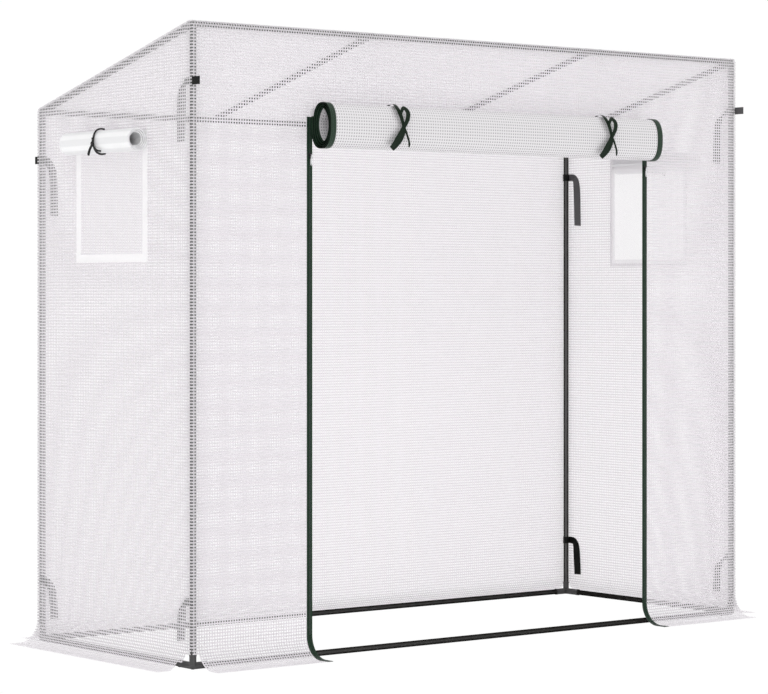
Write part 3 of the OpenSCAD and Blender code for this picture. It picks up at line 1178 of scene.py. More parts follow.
@dataclass
class CoverPanel:
    """A panel of the cover: a film with threads laid in it both ways.

    Attributes:
        node: The CAD node that the panel stands for.
        across: The way along which the panel is the same all over.
        half_width: Half its size that way.
        flat: The panel's size when flat; not used.
        warps: How many threads run down it, so that one runs along each post.
        area: Its area without its openings, where that is less; not used.
        pitch: Distance from one thread to the next.
        thread: A thread's width.
    """

    node: str
    across: Vector
    half_width: float
    flat: tuple[float, float]
    warps: int
    area: float | None = None
    pitch: float = 0.0083
    thread: float = 0.0039

    def line(self, skin: float) -> list[Vector]:
        """Returns the panel's line across its width, at a distance from the cover's inner face."""
        raise NotImplementedError

    def outward(self) -> Vector:
        """Returns the way that the panel's first stretch looks."""
        raise NotImplementedError

    def cut(self, piece: bpy.types.Object) -> None:
        """Cuts the panel's outline and openings out of a piece."""

    def film(self) -> bpy.types.Object:
        """Makes the panel's film.

        Returns:
            The film.
        """
        half = self.across * self.half_width
        line = self.line(SITE.film * 0.5)
        sheet = Bench.pull_sheet(self.node + "_film", line, [half], self.outward())
        self.cut(sheet)
        return sheet

    def threads_across(self) -> bpy.types.Object:
        """Makes the threads that run across the panel.

        Returns:
            The threads.
        """
        line = self.line(SITE.film * 0.8)
        count = int(length_of(line) / self.pitch)
        stops = [
            max(0.0, row * self.pitch + hand * self.thread / 2)
            for row in range(count)
            for hand in (-1, 1)
        ]
        rows, half = at_distances(line, stops), self.across * self.half_width
        threads = Bench.pull_sheet(self.node + "_wefts", rows, [half], self.outward())
        gaps = {face.index for face in threads.data.polygons if face.index % 2}
        Bench.remove_faces(threads, gaps)
        return threads

    def threads_down(self) -> bpy.types.Object:
        """Makes the threads that run down the panel.

        Returns:
            The threads.
        """
        first = self.across * (self.pitch * (1 - self.warps) / 2)
        line = [point + first for point in self.line(SITE.film * 0.2)]
        half = self.across * self.thread / 2
        threads = Bench.pull_sheet(self.node + "_warps", line, [half], self.outward())
        Bench.repeat(threads, self.across * self.pitch, self.warps)
        return threads

    def threads(self) -> bpy.types.Object:
        """Makes the panel's threads, both ways.

        Returns:
            The threads.
        """
        both = Bench.join([self.threads_across(), self.threads_down()], self.node + "_threads")
        self.cut(both)
        return both

    def build(self, finishes: Finishes) -> None:
        """Args:
            finishes: The finishes.
        """
        nodes = (self.node,)
        film = Bench.hand_in(self.film(), finishes.film, "cover_film", "frame", nodes)
        threads = Bench.hand_in(self.threads(), finishes.thread, "cover_film", "frame", nodes)


@dataclass
class WallPanel(CoverPanel):
    """A wall that turns out on to the ground as a flap.

    Attributes:
        origin: A point of the wall's inner face, on the ground.
        out: The way out of the wall.
        top: The height of its top edge.
        flap: How far its flap lies out from the wall.
        turn: The radius at which it turns out.
    """

    origin: Vector = field(default_factory=Vector)
    out: Vector = field(default_factory=Vector)
    top: float = 1.6844
    flap: float = 0.095
    turn: float = 0.062

    def profile(self, skin: float, top: float) -> list[Point]:
        """Returns (distance out, height) down the wall and out along the ground."""
        bend = arc((self.turn, self.turn), self.turn - skin, 180, 270, 12)
        return [(skin, top), *bend, (self.flap, skin)]

    def line(self, skin: float) -> list[Vector]:
        """Returns the wall's line down to the flap's edge."""
        return [self.origin + self.out * out + UP * z for out, z in self.profile(skin, self.top)]

    def outward(self) -> Vector:
        """Returns the way out of the wall."""
        return self.out

    def cut_outlets(self, piece: bpy.types.Object, top: float) -> None:
        """Cuts the gaps at both ends that let the upper straps' short ends out.

        Args:
            piece: The wall's film or threads.
            top: The gaps' top.
        """
        outlet = SITE.post_x + SITE.tube_r
        for side in Side:
            low, high = sorted((side.value * outlet, side.value * ENDLESS))
            Bench.cut_out(
                piece,
                Vector((low, -ENDLESS, top - SITE.strap_width)),
                Vector((high, ENDLESS, top)),
            )


@dataclass
class FrontWall(WallPanel):
    """The front wall, with its doorway and the open corner at the left foot.

    Attributes:
        door_half: Half the doorway's width.
        door_head: The height of its top.
        slit_reach: How far along the wall the open corner's slant starts.
    """

    door_half: float = 0.611
    door_head: float = 1.468
    slit_reach: float = 0.026

    def cut(self, piece: bpy.types.Object) -> None:
        """Cuts the doorway, the strap outlets and the open corner.

        Args:
            piece: The wall's film or threads.
        """
        Bench.cut_out(
            piece,
            Vector((-self.door_half, -ENDLESS, -ENDLESS)),
            Vector((self.door_half, ENDLESS, self.door_head)),
        )
        self.cut_outlets(piece, SITE.front_strap_z)
        near = Vector((self.slit_reach - SITE.wall_x, -SITE.outer_y, 0.0))
        far = Vector((-SITE.wall_x, -SITE.wall_y - self.flap, 0.0))
        OpenCorner(near, far).cut(piece)
        beside = SITE.tube_r + SITE.foot_gap - SITE.post_x
        Bench.cut_out(
            piece,
            Vector((-ENDLESS, -ENDLESS, -ENDLESS)),
            Vector((beside, ENDLESS, SITE.foot_open)),
        )


@dataclass
class BackWall(WallPanel):
    """The low back wall."""

    def cut(self, piece: bpy.types.Object) -> None:
        """Cuts the strap outlets."""
        self.cut_outlets(piece, SITE.back_strap_z)


@dataclass
class OpenCorner:
    """The open corner of the cover at a foot: the flap's end is cut along a slant.

    Attributes:
        near: Where the slant meets the wall.
        far: Where it meets the flap's outer edge.
        height: How high the opening reaches.
    """

    near: Vector
    far: Vector
    height: float = 0.019

    def cut(self, piece: bpy.types.Object) -> None:
        """Cuts the corner out of a wall.

        Args:
            piece: The wall's film or threads.
        """
        slant = (self.far - self.near).cross(UP).normalized()
        corner = Vector((-SITE.wall_x, -SITE.outer_y, 0.0))
        if slant.dot(corner - self.near) < 0:
            slant = -slant
        Bench.slice(piece, self.near, slant)
        Bench.slice(piece, UP * self.height, UP)
        lost = {
            face.index
            for face in piece.data.polygons
            if face.center.z < self.height and slant.dot(face.center - self.near) > 0
        }
        if lost:
            Bench.remove_faces(piece, lost)


@dataclass
class SideWall(WallPanel):
    """A side wall: its top edge follows the roof, and it has a window opening.

    Attributes:
        side: Which end of the greenhouse it closes.
        window: Half the opening's width and height.
        window_z: The height of the opening's middle.
        slit_reach: How far along the left wall the open corner's slant starts.
    """

    side: Side = Side.LEFT
    window: float = 0.165
    window_z: float = 1.241
    slit_reach: float = 0.05

    def cut(self, piece: bpy.types.Object) -> None:
        """Cuts the roof's outline, the window opening and, on the left, the open corner.

        Args:
            piece: The wall's film or threads.
        """
        roof = Roof.outline(SITE.film)
        for (y, z), (next_y, next_z) in zip(roof, roof[1:]):
            away = Vector((0.0, z - next_z, next_y - y))
            Bench.slice(piece, Vector((0.0, y, z)), away.normalized(), clear=True)
        half = self.window
        Bench.cut_out(
            piece,
            Vector((-ENDLESS, -half, self.window_z - half)),
            Vector((ENDLESS, half, self.window_z + half)),
        )
        if self.side is Side.LEFT:
            near = Vector((-SITE.outer_x, self.slit_reach - SITE.outer_y, 0.0))
            far = Vector((-SITE.wall_x - self.flap, -SITE.outer_y, 0.0))
            OpenCorner(near, far).cut(piece)
            beside = SITE.tube_r + SITE.foot_gap - SITE.post_y
            Bench.cut_out(
                piece,
                Vector((-ENDLESS, -ENDLESS, -ENDLESS)),
                Vector((ENDLESS, beside, SITE.foot_open)),
            )


@dataclass
class Roof(CoverPanel):
    """The roof sheet, which wraps the top front rail and the top back rail."""

    @staticmethod
    def outline(skin: float, steps: int = 6) -> list[Point]:
        """Follows the roof over the ridge, down the slope and over the eave.

        Args:
            skin: The distance from the cover's inner face.
            steps: Steps round each rail.

        Returns:
            (Y, Z) of its points.
        """
        reach, lean = SITE.cover_r + skin, 90 - SITE.slope
        return [
            *arc((-SITE.post_y, SITE.ridge_z), reach, 180, lean, steps),
            *arc((SITE.post_y, SITE.eave_z), reach, lean, 0, steps),
        ]

    def line(self, skin: float) -> list[Vector]:
        """Returns the roof's line from front to back."""
        return [Vector((0.0, y, z)) for y, z in self.outline(skin)]

    def outward(self) -> Vector:
        """Returns the way that the roof's front edge looks."""
        return -ALONG_Y


class Cover:
    """The whole cover: a roof and four walls."""

    def build(self, finishes: Finishes) -> None:
        """Makes the five panels.

        Args:
            finishes: The finishes.
        """
        along, depth = (ALONG_X, SITE.wall_x), (ALONG_Y, SITE.outer_y)
        Roof("roof_sheet", *along, flat=(2.005, 0.805), warps=240).build(finishes)
        FrontWall(
            "front_wall",
            *along,
            flat=(2.005, 1.753),
            warps=241,
            area=1.64,
            origin=-ALONG_Y * SITE.wall_y,
            out=-ALONG_Y,
        ).build(finishes)
        BackWall(
            "back_wall",
            *along,
            flat=(2.005, 1.56),
            warps=240,
            origin=ALONG_Y * SITE.wall_y,
            out=ALONG_Y,
            top=SITE.eave_z,
        ).build(finishes)
        for side in Side:
            out = ALONG_X * side.value
            SideWall(
                side.word + "_wall",
                *depth,
                flat=(0.769, 1.76),
                warps=91,
                area=1.17,
                origin=out * SITE.wall_x,
                out=out,
                top=SITE.ridge_z + 3 * CoverPanel.pitch,
                side=side,
            ).build(finishes)


@dataclass
class Window:
    """A side window: its net, its white border, and the rolled shade with its cord.

    Everything is modelled on the left and mirrored to the right.

    Attributes:
        hole: Half the opening's width.
        border: Half the border's width outside.
        tape: The border tape's width.
        tape_thick: Its thickness.
        middle: The height of the opening's middle.
        tape_gap: The gap between the border tape and the wall.
        net_pitch: Distance from one net strand to the next.
        strand: A net strand's width.
        strand_step: How far the level strands lie outside the standing ones.
        cord: The tie cord's thickness.
        roll_r: The shade's radius where its outer turn starts.
        roll_turns: Turns in the rolled shade.
        roll_pitch: Distance between its turns.
        roll_half: Half the shade's length.
        roll_taper: How much shorter its inner turns are at each end.
        roll_thick: The rolled sheet's thickness.
        roll_steps: Steps in a turn of it.
        roll_x: The roll's centre, out from the middle of the footprint.
        roll_y: The roll's middle, across the depth.
        roll_z: The height of the roll's centre.
        flap_drop: How far the shade hangs from the border's top to its roll.
        loop_turn: Where the cord's loop starts round the roll and how far it goes, in degrees.
        loop_lean: How far it leans towards the front, where its knot is.
        knot_r: The knot's radius.
    """

    hole: float = 0.165
    border: float = 0.176
    tape: float = 0.022
    tape_thick: float = 0.0009
    middle: float = 1.241
    tape_gap: float = 0.0002
    net_pitch: float = 0.0027
    strand: float = 0.0007
    strand_step: float = 0.0001
    cord: float = 0.0052
    roll_r: float = 0.031
    roll_turns: float = 3.3
    roll_pitch: float = 0.0038
    roll_half: float = 0.172
    roll_taper: float = 0.012
    roll_thick: float = 0.0034
    roll_steps: int = 40
    roll_x: float = 1.0342
    roll_y: float = -0.004
    roll_z: float = 1.392
    flap_drop: float = 0.030
    loop_turn: tuple[int, int] = (75, 215)
    loop_lean: float = 0.011
    knot_r: float = 0.0036

    def net(self) -> bpy.types.Object:
        """Makes the insect net: strands both ways.

        Returns:
            The net.
        """
        x = -SITE.wall_x - SITE.film / 2
        count = int(2 * self.hole / self.net_pitch)
        start = self.net_pitch * (1 - count) / 2
        up = [Vector((x, start, self.middle + z)) for z in (-self.hole, self.hole)]
        standing = Bench.pull_sheet("strands_up", up, [ALONG_Y * self.strand / 2], -ALONG_X)
        Bench.repeat(standing, ALONG_Y * self.net_pitch, count)
        x -= self.strand_step
        level = [Vector((x, y, self.middle + start)) for y in (-self.hole, self.hole)]
        lying = Bench.pull_sheet("strands_level", level, [UP * self.strand / 2], -ALONG_X)
        Bench.repeat(lying, UP * self.net_pitch, count)
        return Bench.join([standing, lying], "window_net_left_mesh")

    def frame(self, finishes: Finishes) -> bpy.types.Object:
        """Makes the border tape: a ring cut from a plane, white with a clear back.

        Args:
            finishes: The finishes.

        Returns:
            The tape.
        """
        x = -SITE.outer_x - self.tape_gap
        line = [Vector((x, 0.0, self.middle + z)) for z in (-self.border, self.border)]
        name = "window_border_left_tape"
        tape = Bench.pull_sheet(name, line, [ALONG_Y * self.border], -ALONG_X)
        Bench.edit(tape)
        bpy.ops.mesh.inset(thickness=self.tape, depth=0.0)
        Bench.done()
        centre, near = Vector((x, 0.0, self.middle)), 0.01
        inner = {face.index for face in tape.data.polygons if (face.center - centre).length < near}
        Bench.remove_faces(tape, inner)
        for finish in (finishes.border, finishes.film):
            tape.data.materials.append(finish)
        Bench.thicken(tape, self.tape_thick, 1.0, back=1)
        Bench.shape_with(tape, "BEVEL", width=0.0003, segments=2)
        return tape

    def roll_line(self) -> list[Vector]:
        """Follows the shade's winding.

        Returns:
            Its points, from where it hangs to its free edge.
        """
        steps = int(self.roll_turns * self.roll_steps)
        points = []
        for step in range(steps + 1):
            turn = self.roll_turns * step / steps
            reach = self.roll_r - self.roll_pitch * turn
            angle = 2 * math.pi * turn
            x = -self.roll_x + reach * math.cos(angle)
            points.append(Vector((x, self.roll_y, self.roll_z - reach * math.sin(angle))))
        return points

    def roll(self) -> bpy.types.Object:
        """Makes the rolled shade.

        Returns:
            The shade.
        """
        line = self.roll_line()
        halves = [
            ALONG_Y * (self.roll_half - self.roll_taper * step / len(line))
            for step in range(len(line))
        ]
        shade = Bench.pull_sheet("window_roll_left_cloth", line, halves, ALONG_X)
        Bench.thicken(shade, self.roll_thick)
        Bench.smooth(shade)
        return shade

    def flap(self) -> bpy.types.Object:
        """Makes the short stretch that hangs above the roll and grows as it unrolls.

        Returns:
            The stretch.
        """
        x, rows = -self.roll_x + self.roll_r, 12
        drops = [self.flap_drop * unrolled(row / rows) for row in range(rows + 1)]
        top = self.middle + self.border
        line = [Vector((x, self.roll_y, top - drop)) for drop in drops]
        half = ALONG_Y * self.roll_half
        return Bench.pull_sheet("window_flap_left_cloth", line, [half], -ALONG_X)

    def tie(self) -> bpy.types.Object:
        """Makes the cord round the shade: a loop, a knot and a hanging doubled end.

        Returns:
            The cord.
        """
        centre = Vector((-self.roll_x, 0.0, self.roll_z))
        reach = self.roll_r + self.roll_thick
        (start, sweep), steps, loop = self.loop_turn, 14, []
        for step in range(steps + 1):
            angle = math.radians(start + sweep * step / steps)
            aside = -self.loop_lean * max(0.0, -math.cos(angle)) ** 2
            loop.append(centre + Vector((reach * math.cos(angle), aside, reach * math.sin(angle))))
        knot = centre + Vector((-reach - 0.001, -self.loop_lean, -0.004))
        parts = [Bench.rope("loop", loop, self.cord / 2)]
        ends_in_mm = (
            [(0, 0, 4), (-3, 0, -8), (-5, 6, -20), (-6, 12, -35)],
            [(0, 0, 2), (-2, 4, -8), (-3, 12, -19), (-3, 19, -32)],
            [(0, 0, -2), (-1, -7, -13), (4, -16, -22), (10, -25, -24)],
            [(0, 2, 12), (-2, -2, 4), (-3, 2, -3), (-1, -1, -9)],
        )
        for end in ends_in_mm:
            line = [knot + Vector(step) / 1000 for step in end]
            parts.append(Bench.rope("end", line, self.cord / 2))
        parts.append(Bench.knot(knot, self.knot_r))
        cord = Bench.join(parts, "window_tie_left_cord")
        Bench.smooth(cord, 60.0)
        return cord

    def build(self, finishes: Finishes) -> None:
        """Makes the left window, mirrors it to the right, and hands in both.

        Args:
            finishes: The finishes.
        """
        lefts = {
            "window_net_": self.net(),
            "window_border_": self.frame(finishes),
            "window_roll_": self.roll(),
            "window_flap_": self.flap(),
            "window_tie_": self.tie(),
        }
        rights = {
            node: Bench.mirrored(piece, piece.name.replace("left", "right"))
            for node, piece in lefts.items()
        }
        for side, pieces in zip(Side, (lefts, rights)):
            self.fix(side.word, pieces, finishes)

    def fix(self, word: str, pieces: dict[str, bpy.types.Object], finishes: Finishes) -> None:
        """Dresses one window's pieces and fixes them to their bodies.

        Args:
            word: The window's side.
            pieces: Its pieces, by the start of their nodes' names.
            finishes: The finishes.
        """
        shade = "window_shade_" + word
        dress = {
            "window_net_": (finishes.net, "window_net", "frame"),
            "window_border_": (None, "white_border", "frame"),
            "window_roll_": (finishes.shade, "shade_film", shade),
            "window_flap_": (finishes.window_hang, "shade_film", ""),
            "window_tie_": (finishes.cord, "black_cord", shade),
        }
        for node, (finish, slot, body) in dress.items():
            Bench.hand_in(pieces[node], finish, slot, body, (node + word,))
        net, border, roll, flap, tie = pieces.values()
        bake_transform(flap)


@dataclass
class DoorRoll:
    """The rolled door: an oval winding round a pointed hollow, bound at both ends, with two ties.

    Attributes:
        depth: Half the roll's depth at its outer turn.
        height: Half its height there.
        hollow_depth: Half the hollow's depth.
        hollow_height: Half the hollow's height.
        turns: Turns in the roll.
        start: Where the winding starts, in degrees from its top towards the wall.
        half_length: Half the roll's length.
        binding: The bound edges' width.
        bound_turns: How many of the turns have a binding.
        bare_edge: How far the last turn, which has none, is set back at each end.
        overlap: How far the cloth without bindings starts before they end, in turns.
        recess: How far the inner turns are set back at each end.
        lift: How far the bindings and the ties' bands lie outside the cloth's line.
        turn_steps: Steps in a turn.
        slack: How far the slack in the roll's front stands out.
        y: The roll's centre, across the depth.
        z: The height of its centre.
        tie_places: Where the ties are along the roll.
        flap_top: The top of the stretch that hangs above the roll.
        flap_low: Its lower edge.
        blunt: The power that shapes the turns' depth, at the outer turn and at the hollow.
        tall: The power that shapes their height, at both.
        bound_thick: The bindings' thickness.
        ribbon_thick: The ties' thickness.
        band: Half the width of a tie's band round the back, and its thickness.
        knot_out: How far a tie's knot is in front of the roll.
        knot_r: The radius of a tie's knot before it is drawn tall.
    """

    depth: float = 0.0433
    height: float = 0.0633
    hollow_depth: float = 0.0158
    hollow_height: float = 0.0395
    turns: float = 5.0
    start: float = 72.0
    half_length: float = 0.6138
    binding: float = 0.019
    bound_turns: float = 3.8
    bare_edge: float = 0.001
    overlap: float = 0.02
    recess: float = 0.01
    lift: float = 0.0006
    turn_steps: int = 44
    slack: float = 0.0016
    y: float = -0.4282
    z: float = 1.433
    tie_places: tuple[float, float] = (-0.37, 0.401)
    flap_top: float = 1.48
    flap_low: float = 1.4533
    blunt: tuple[float, float] = (0.78, 1.9)
    tall: tuple[float, float] = (0.8, 1.0)
    bound_thick: float = 0.0023
    ribbon_thick: float = 0.0009
    band: tuple[float, float] = (0.0045, 0.0006)
    knot_out: float = 0.005
    knot_r: float = 0.0055

    def point(self, degrees: float, share: float, lift: float = 0.0) -> Vector:
        """Returns a point of the winding.

        Args:
            degrees: The angle from the top, first down the side by the wall.
            share: 0 at the outer turn and 1 at the hollow.
            lift: A distance outwards.

        Returns:
            The point, on the roll's middle plane.
        """
        turn = math.radians(degrees)
        sine, cosine = math.sin(turn), math.cos(turn)
        depth = (1 - share) * self.depth + share * self.hollow_depth + lift
        height = (1 - share) * self.height + share * self.hollow_height + lift
        outer, inner = self.blunt
        blunt = outer + (inner - outer) * share**1.5
        outer, inner = self.tall
        tall = outer + (inner - outer) * share
        y = depth * math.copysign(abs(sine) ** blunt, sine)
        z = height * math.copysign(abs(cosine) ** tall, cosine)
        return Vector((0.0, self.y + y, self.z + z))

    def line(self, turns: float, lift: float = 0.0) -> list[Vector]:
        """Follows the winding from its flap inwards.

        Args:
            turns: How many turns it follows.
            lift: A distance outwards.

        Returns:
            Its points.
        """
        steps = int(turns * self.turn_steps)
        shares = [step / steps * turns / self.turns for step in range(steps + 1)]
        return [self.point(self.start + 360 * self.turns * share, share, lift) for share in shares]

    def cloth(self) -> bpy.types.Object:
        """Makes the rolled cloth, with a little slack in its front.

        It is narrower where the bindings are. Its last turn has none.

        Returns:
            The cloth.
        """
        line = self.line(self.turns)
        halves = []
        for step in range(len(line)):
            share = step / (len(line) - 1)
            bound = share * self.turns < self.bound_turns - self.overlap
            back = self.binding if bound else self.bare_edge
            halves.append(ALONG_X * (self.half_length - back - self.recess * share))
        cloth = Bench.pull_sheet("door_roll_cloth", line, halves, ALONG_Y)
        reach, stretches = self.half_length - self.binding, 24
        for cut in range(stretches + 1):
            x = -reach + 2 * reach * cut / stretches
            Bench.slice(cloth, ALONG_X * x, ALONG_X)
        loose = cloth.vertex_groups.new(name="loose")
        for vertex in cloth.data.vertices:
            front = min(1.0, max(0.0, (self.y - vertex.co.y) / self.depth))
            if front > 0:
                loose.add([vertex.index], front, "REPLACE")
        waves = bpy.data.textures.new("slack", "CLOUDS")
        waves.noise_scale = 0.16
        Bench.shape_with(
            cloth,
            "DISPLACE",
            texture=waves,
            strength=self.slack,
            mid_level=0.5,
            vertex_group="loose",
            texture_coords="LOCAL",
        )
        Bench.smooth(cloth, 60.0)
        return cloth

    def edge(self) -> bpy.types.Object:
        """Makes the bound edge at the left end, its inner turns set back and nearly touching.

        Returns:
            The binding.
        """
        line = self.line(self.bound_turns, self.lift)
        for step, point in enumerate(line):
            share = step / (len(line) - 1) * self.bound_turns / self.turns
            point.x += self.binding / 2 - self.half_length + self.recess * share
        half = ALONG_X * self.binding / 2
        edge = Bench.pull_sheet("door_edge_left_binding", line, [half], ALONG_Y)
        Bench.thicken(edge, self.bound_thick)
        Bench.shape_with(edge, "BEVEL", width=0.0004, segments=2, limit_method="ANGLE")
        Bench.smooth(edge)
        return edge

    def flap(self) -> bpy.types.Object:
        """Makes the short stretch that hangs above the roll and grows as it unrolls.

        Returns:
            The stretch.
        """
        y, rows = self.y + self.depth, 16
        drop = self.flap_top - self.flap_low
        heights = [self.flap_top - drop * unrolled(row / rows) for row in range(rows + 1)]
        line = [Vector((0.0, y, z)) for z in heights]
        return Bench.pull_sheet("door_flap_cloth", line, [ALONG_X * self.half_length], -ALONG_Y)

    def knot_at(self, x: float) -> Vector:
        """Returns where a tie's knot is, in front of the roll."""
        return Vector((x, self.y - self.depth - self.knot_out, self.z))

    def strand(self, name: str, x: float, stops: list[tuple[float, ...]]) -> bpy.types.Object:
        """Returns a ribbon in front of the roll.

        Args:
            name: The piece's name.
            x: Where the tie's knot is along the roll.
            stops: (right, out, up, width, turn) from the knot, in mm and degrees; a turn of 90
                shows its edge.

        Returns:
            The ribbon.
        """
        knot, path = self.knot_at(x), eased(stops)
        line = [knot + Vector((right, -out, up)) / 1000 for right, out, up, _, _ in path]
        halves = []
        for index, (_, _, _, width, turn) in enumerate(path):
            run = (line[min(len(line) - 1, index + 1)] - line[max(0, index - 1)]).normalized()
            out = Vector((0.0, line[index].y - self.y, (line[index].z - self.z) * 0.4)).normalized()
            side = run.cross(out).normalized()
            face = side.cross(run)
            angle = math.radians(turn)
            halves.append((side * math.cos(angle) + face * math.sin(angle)) * width / 2000)
        ribbon = Bench.pull_sheet(name, line, halves, -ALONG_Y)
        Bench.thicken(ribbon, self.ribbon_thick)
        return ribbon

    def tie(self, x: float, word: str) -> bpy.types.Object:
        """Returns a ribbon tie: its band round the back, and in front a half bow with two ends.

        Args:
            x: Where it is along the roll.
            word: The side's name.

        Returns:
            The tie.
        """
        paths = {
            "strand": [
                (-1, -43, 64.5, 10, 0),
                (-7, -30, 62, 12, 0),
                (-12, -16, 56, 13, 0),
                (-13, -5, 45, 13, 0),
                (-10, 0, 33, 13, 0),
                (-5, 2, 17, 11, 0),
                (0, 2, 0, 10, 0),
            ],
            "wide_end": [
                (1, 2, 2, 12, 0),
                (-6, 4, -13, 20, 0),
                (-16, 4, -30, 25, 0),
                (-26, 0, -46, 24, 0),
                (-36, -6, -60, 19, 0),
            ],
            "loop": [
                (-11, 2, 33, 8, 0),
                (-6, 0, 44, 9, 0),
                (1, -3, 51, 11, 0),
                (9, -5, 51, 13, 0),
                (15, 0, 42, 14, 0),
                (14, 3, 29, 14, 0),
                (8, 4, 14, 12, 0),
                (0, 3, 0, 10, 0),
            ],
            "thin_end": [
                (0, 2, 0, 8, 0),
                (5, 4, -11, 7, 0),
                (11, 4, -24, 6, 0),
                (17, 3, -38, 6, 0),
                (19, 2, -48, 6, 0),
                (17, 2, -54, 5, 0),
            ],
        }
        parts = [self.strand(name, x, stops) for name, stops in paths.items()]
        behind = [self.point(turn, 0.0, self.lift) for turn in range(8, 166, 8)]
        for point in behind:
            point.x = x - 0.001
        half, thickness = self.band
        band = Bench.pull_sheet("band", behind, [ALONG_X * half], ALONG_Y)
        Bench.thicken(band, thickness)
        knot = Bench.knot(self.knot_at(x), self.knot_r)
        Bench.edit(knot)
        bpy.ops.transform.resize(value=(0.9, 0.6, 1.2), center_override=self.knot_at(x))
        Bench.done()
        knot.data.uv_layers[0].name = CLOTH_MAP
        tie = Bench.join([*parts, band, knot], f"door_tie_{word}_ribbon")
        Bench.smooth(tie, 60.0)
        return tie

    def build(self, finishes: Finishes) -> None:
        """Args:
            finishes: The finishes.
        """
        cloth = Bench.hand_in(self.cloth(), finishes.rolled, "door_film", "door", ("door_roll",))
        left = self.edge()
        right = Bench.mirrored(left, "door_edge_right_binding")
        for side, edge, place in zip(Side, (left, right), self.tie_places):
            node = ("door_edge_" + side.word,)
            Bench.hand_in(edge, finishes.binding, "green_binding", "door", node)
            # The faces along X, at the roll's ends, take the darker copy: painted shade.
            edge.data.materials.append(finishes.binding_end)
            for face in edge.data.polygons:
                face.material_index = int(abs(face.normal.x) > 0.5)
            tie, node = self.tie(place, side.word), ("door_tie_" + side.word,)
            Bench.hand_in(tie, finishes.ribbon, "green_ribbon", "door", node)
        flap = Bench.hand_in(self.flap(), finishes.door_hang, "door_film", "", ("door_flap",))
        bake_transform(flap)


@dataclass
class Zips:
    """The two zips down the doorway: a tape that turns out on the ground, and a chain of teeth.

    Attributes:
        x: Distance of a zip from the doorway's middle.
        tape: The tape's width.
        tape_thick: Its thickness.
        top: The height of the tape's top end.
        tooth: A tooth's width, depth and height.
        pitch: Distance from one tooth to the next.
        chain_low: The height of the chain's lower end.
        chain_back: How far the teeth's backs are out from the wall's inner face.
    """

    x: float = 0.62
    tape: float = 0.018
    tape_thick: float = 0.0008
    top: float = 1.456
    tooth: tuple[float, float, float] = (0.0038, 0.0013, 0.0013)
    pitch: float = 0.0023
    chain_low: float = 0.064
    chain_back: float = 0.0017

    def strip(self) -> bpy.types.Object:
        """Makes the left tape, which lies on the front wall's line.

        Returns:
            The tape.
        """
        half = self.tape / 2
        start = Vector((-self.x, -SITE.wall_y, 0.0))
        wall = WallPanel(
            "zip", ALONG_X, half, (self.tape, self.top), 1, top=self.top, origin=start, out=-ALONG_Y
        )
        line = wall.line(SITE.film + self.tape_thick / 2)
        strip = Bench.pull_sheet("zip_tape_left_strip", line, [ALONG_X * half], wall.out)
        Bench.thicken(strip, self.tape_thick)
        Bench.smooth(strip)
        return strip

    def teeth(self) -> bpy.types.Object:
        """Makes the left chain: one bevelled tooth, repeated down the tape.

        Returns:
            The chain.
        """
        low = self.chain_low
        count = int((self.top - low) / self.pitch)
        Bench.hold(None)
        y = -SITE.wall_y - self.chain_back - self.tooth[1] / 2
        bpy.ops.mesh.primitive_cube_add(size=1.0, calc_uvs=False, location=(0.0, 0.0, 0.0))
        tooth = bpy.context.active_object
        Bench.edit(tooth)
        bpy.ops.transform.resize(value=self.tooth)
        bpy.ops.transform.translate(value=(-self.x, y, low + self.tooth[2] / 2))
        Bench.done()
        Bench.shape_with(tooth, "BEVEL", width=0.0003, segments=1)
        Bench.repeat(tooth, UP * self.pitch, count)
        tooth.name = tooth.data.name = "zip_chain_left_teeth"
        return tooth

    def build(self, finishes: Finishes) -> None:
        """Makes both zips' tapes and chains.

        Args:
            finishes: The finishes.
        """
        lefts = (self.strip(), self.teeth())
        rights = [Bench.mirrored(piece, piece.name.replace("left", "right")) for piece in lefts]
        for side, (tape, chain) in zip(Side, (lefts, rights)):
            node = ("zip_tape_" + side.word,)
            Bench.hand_in(tape, finishes.tape, "green_binding", "frame", node)
            Bench.hand_in(chain, finishes.chain, "green_binding", "frame")


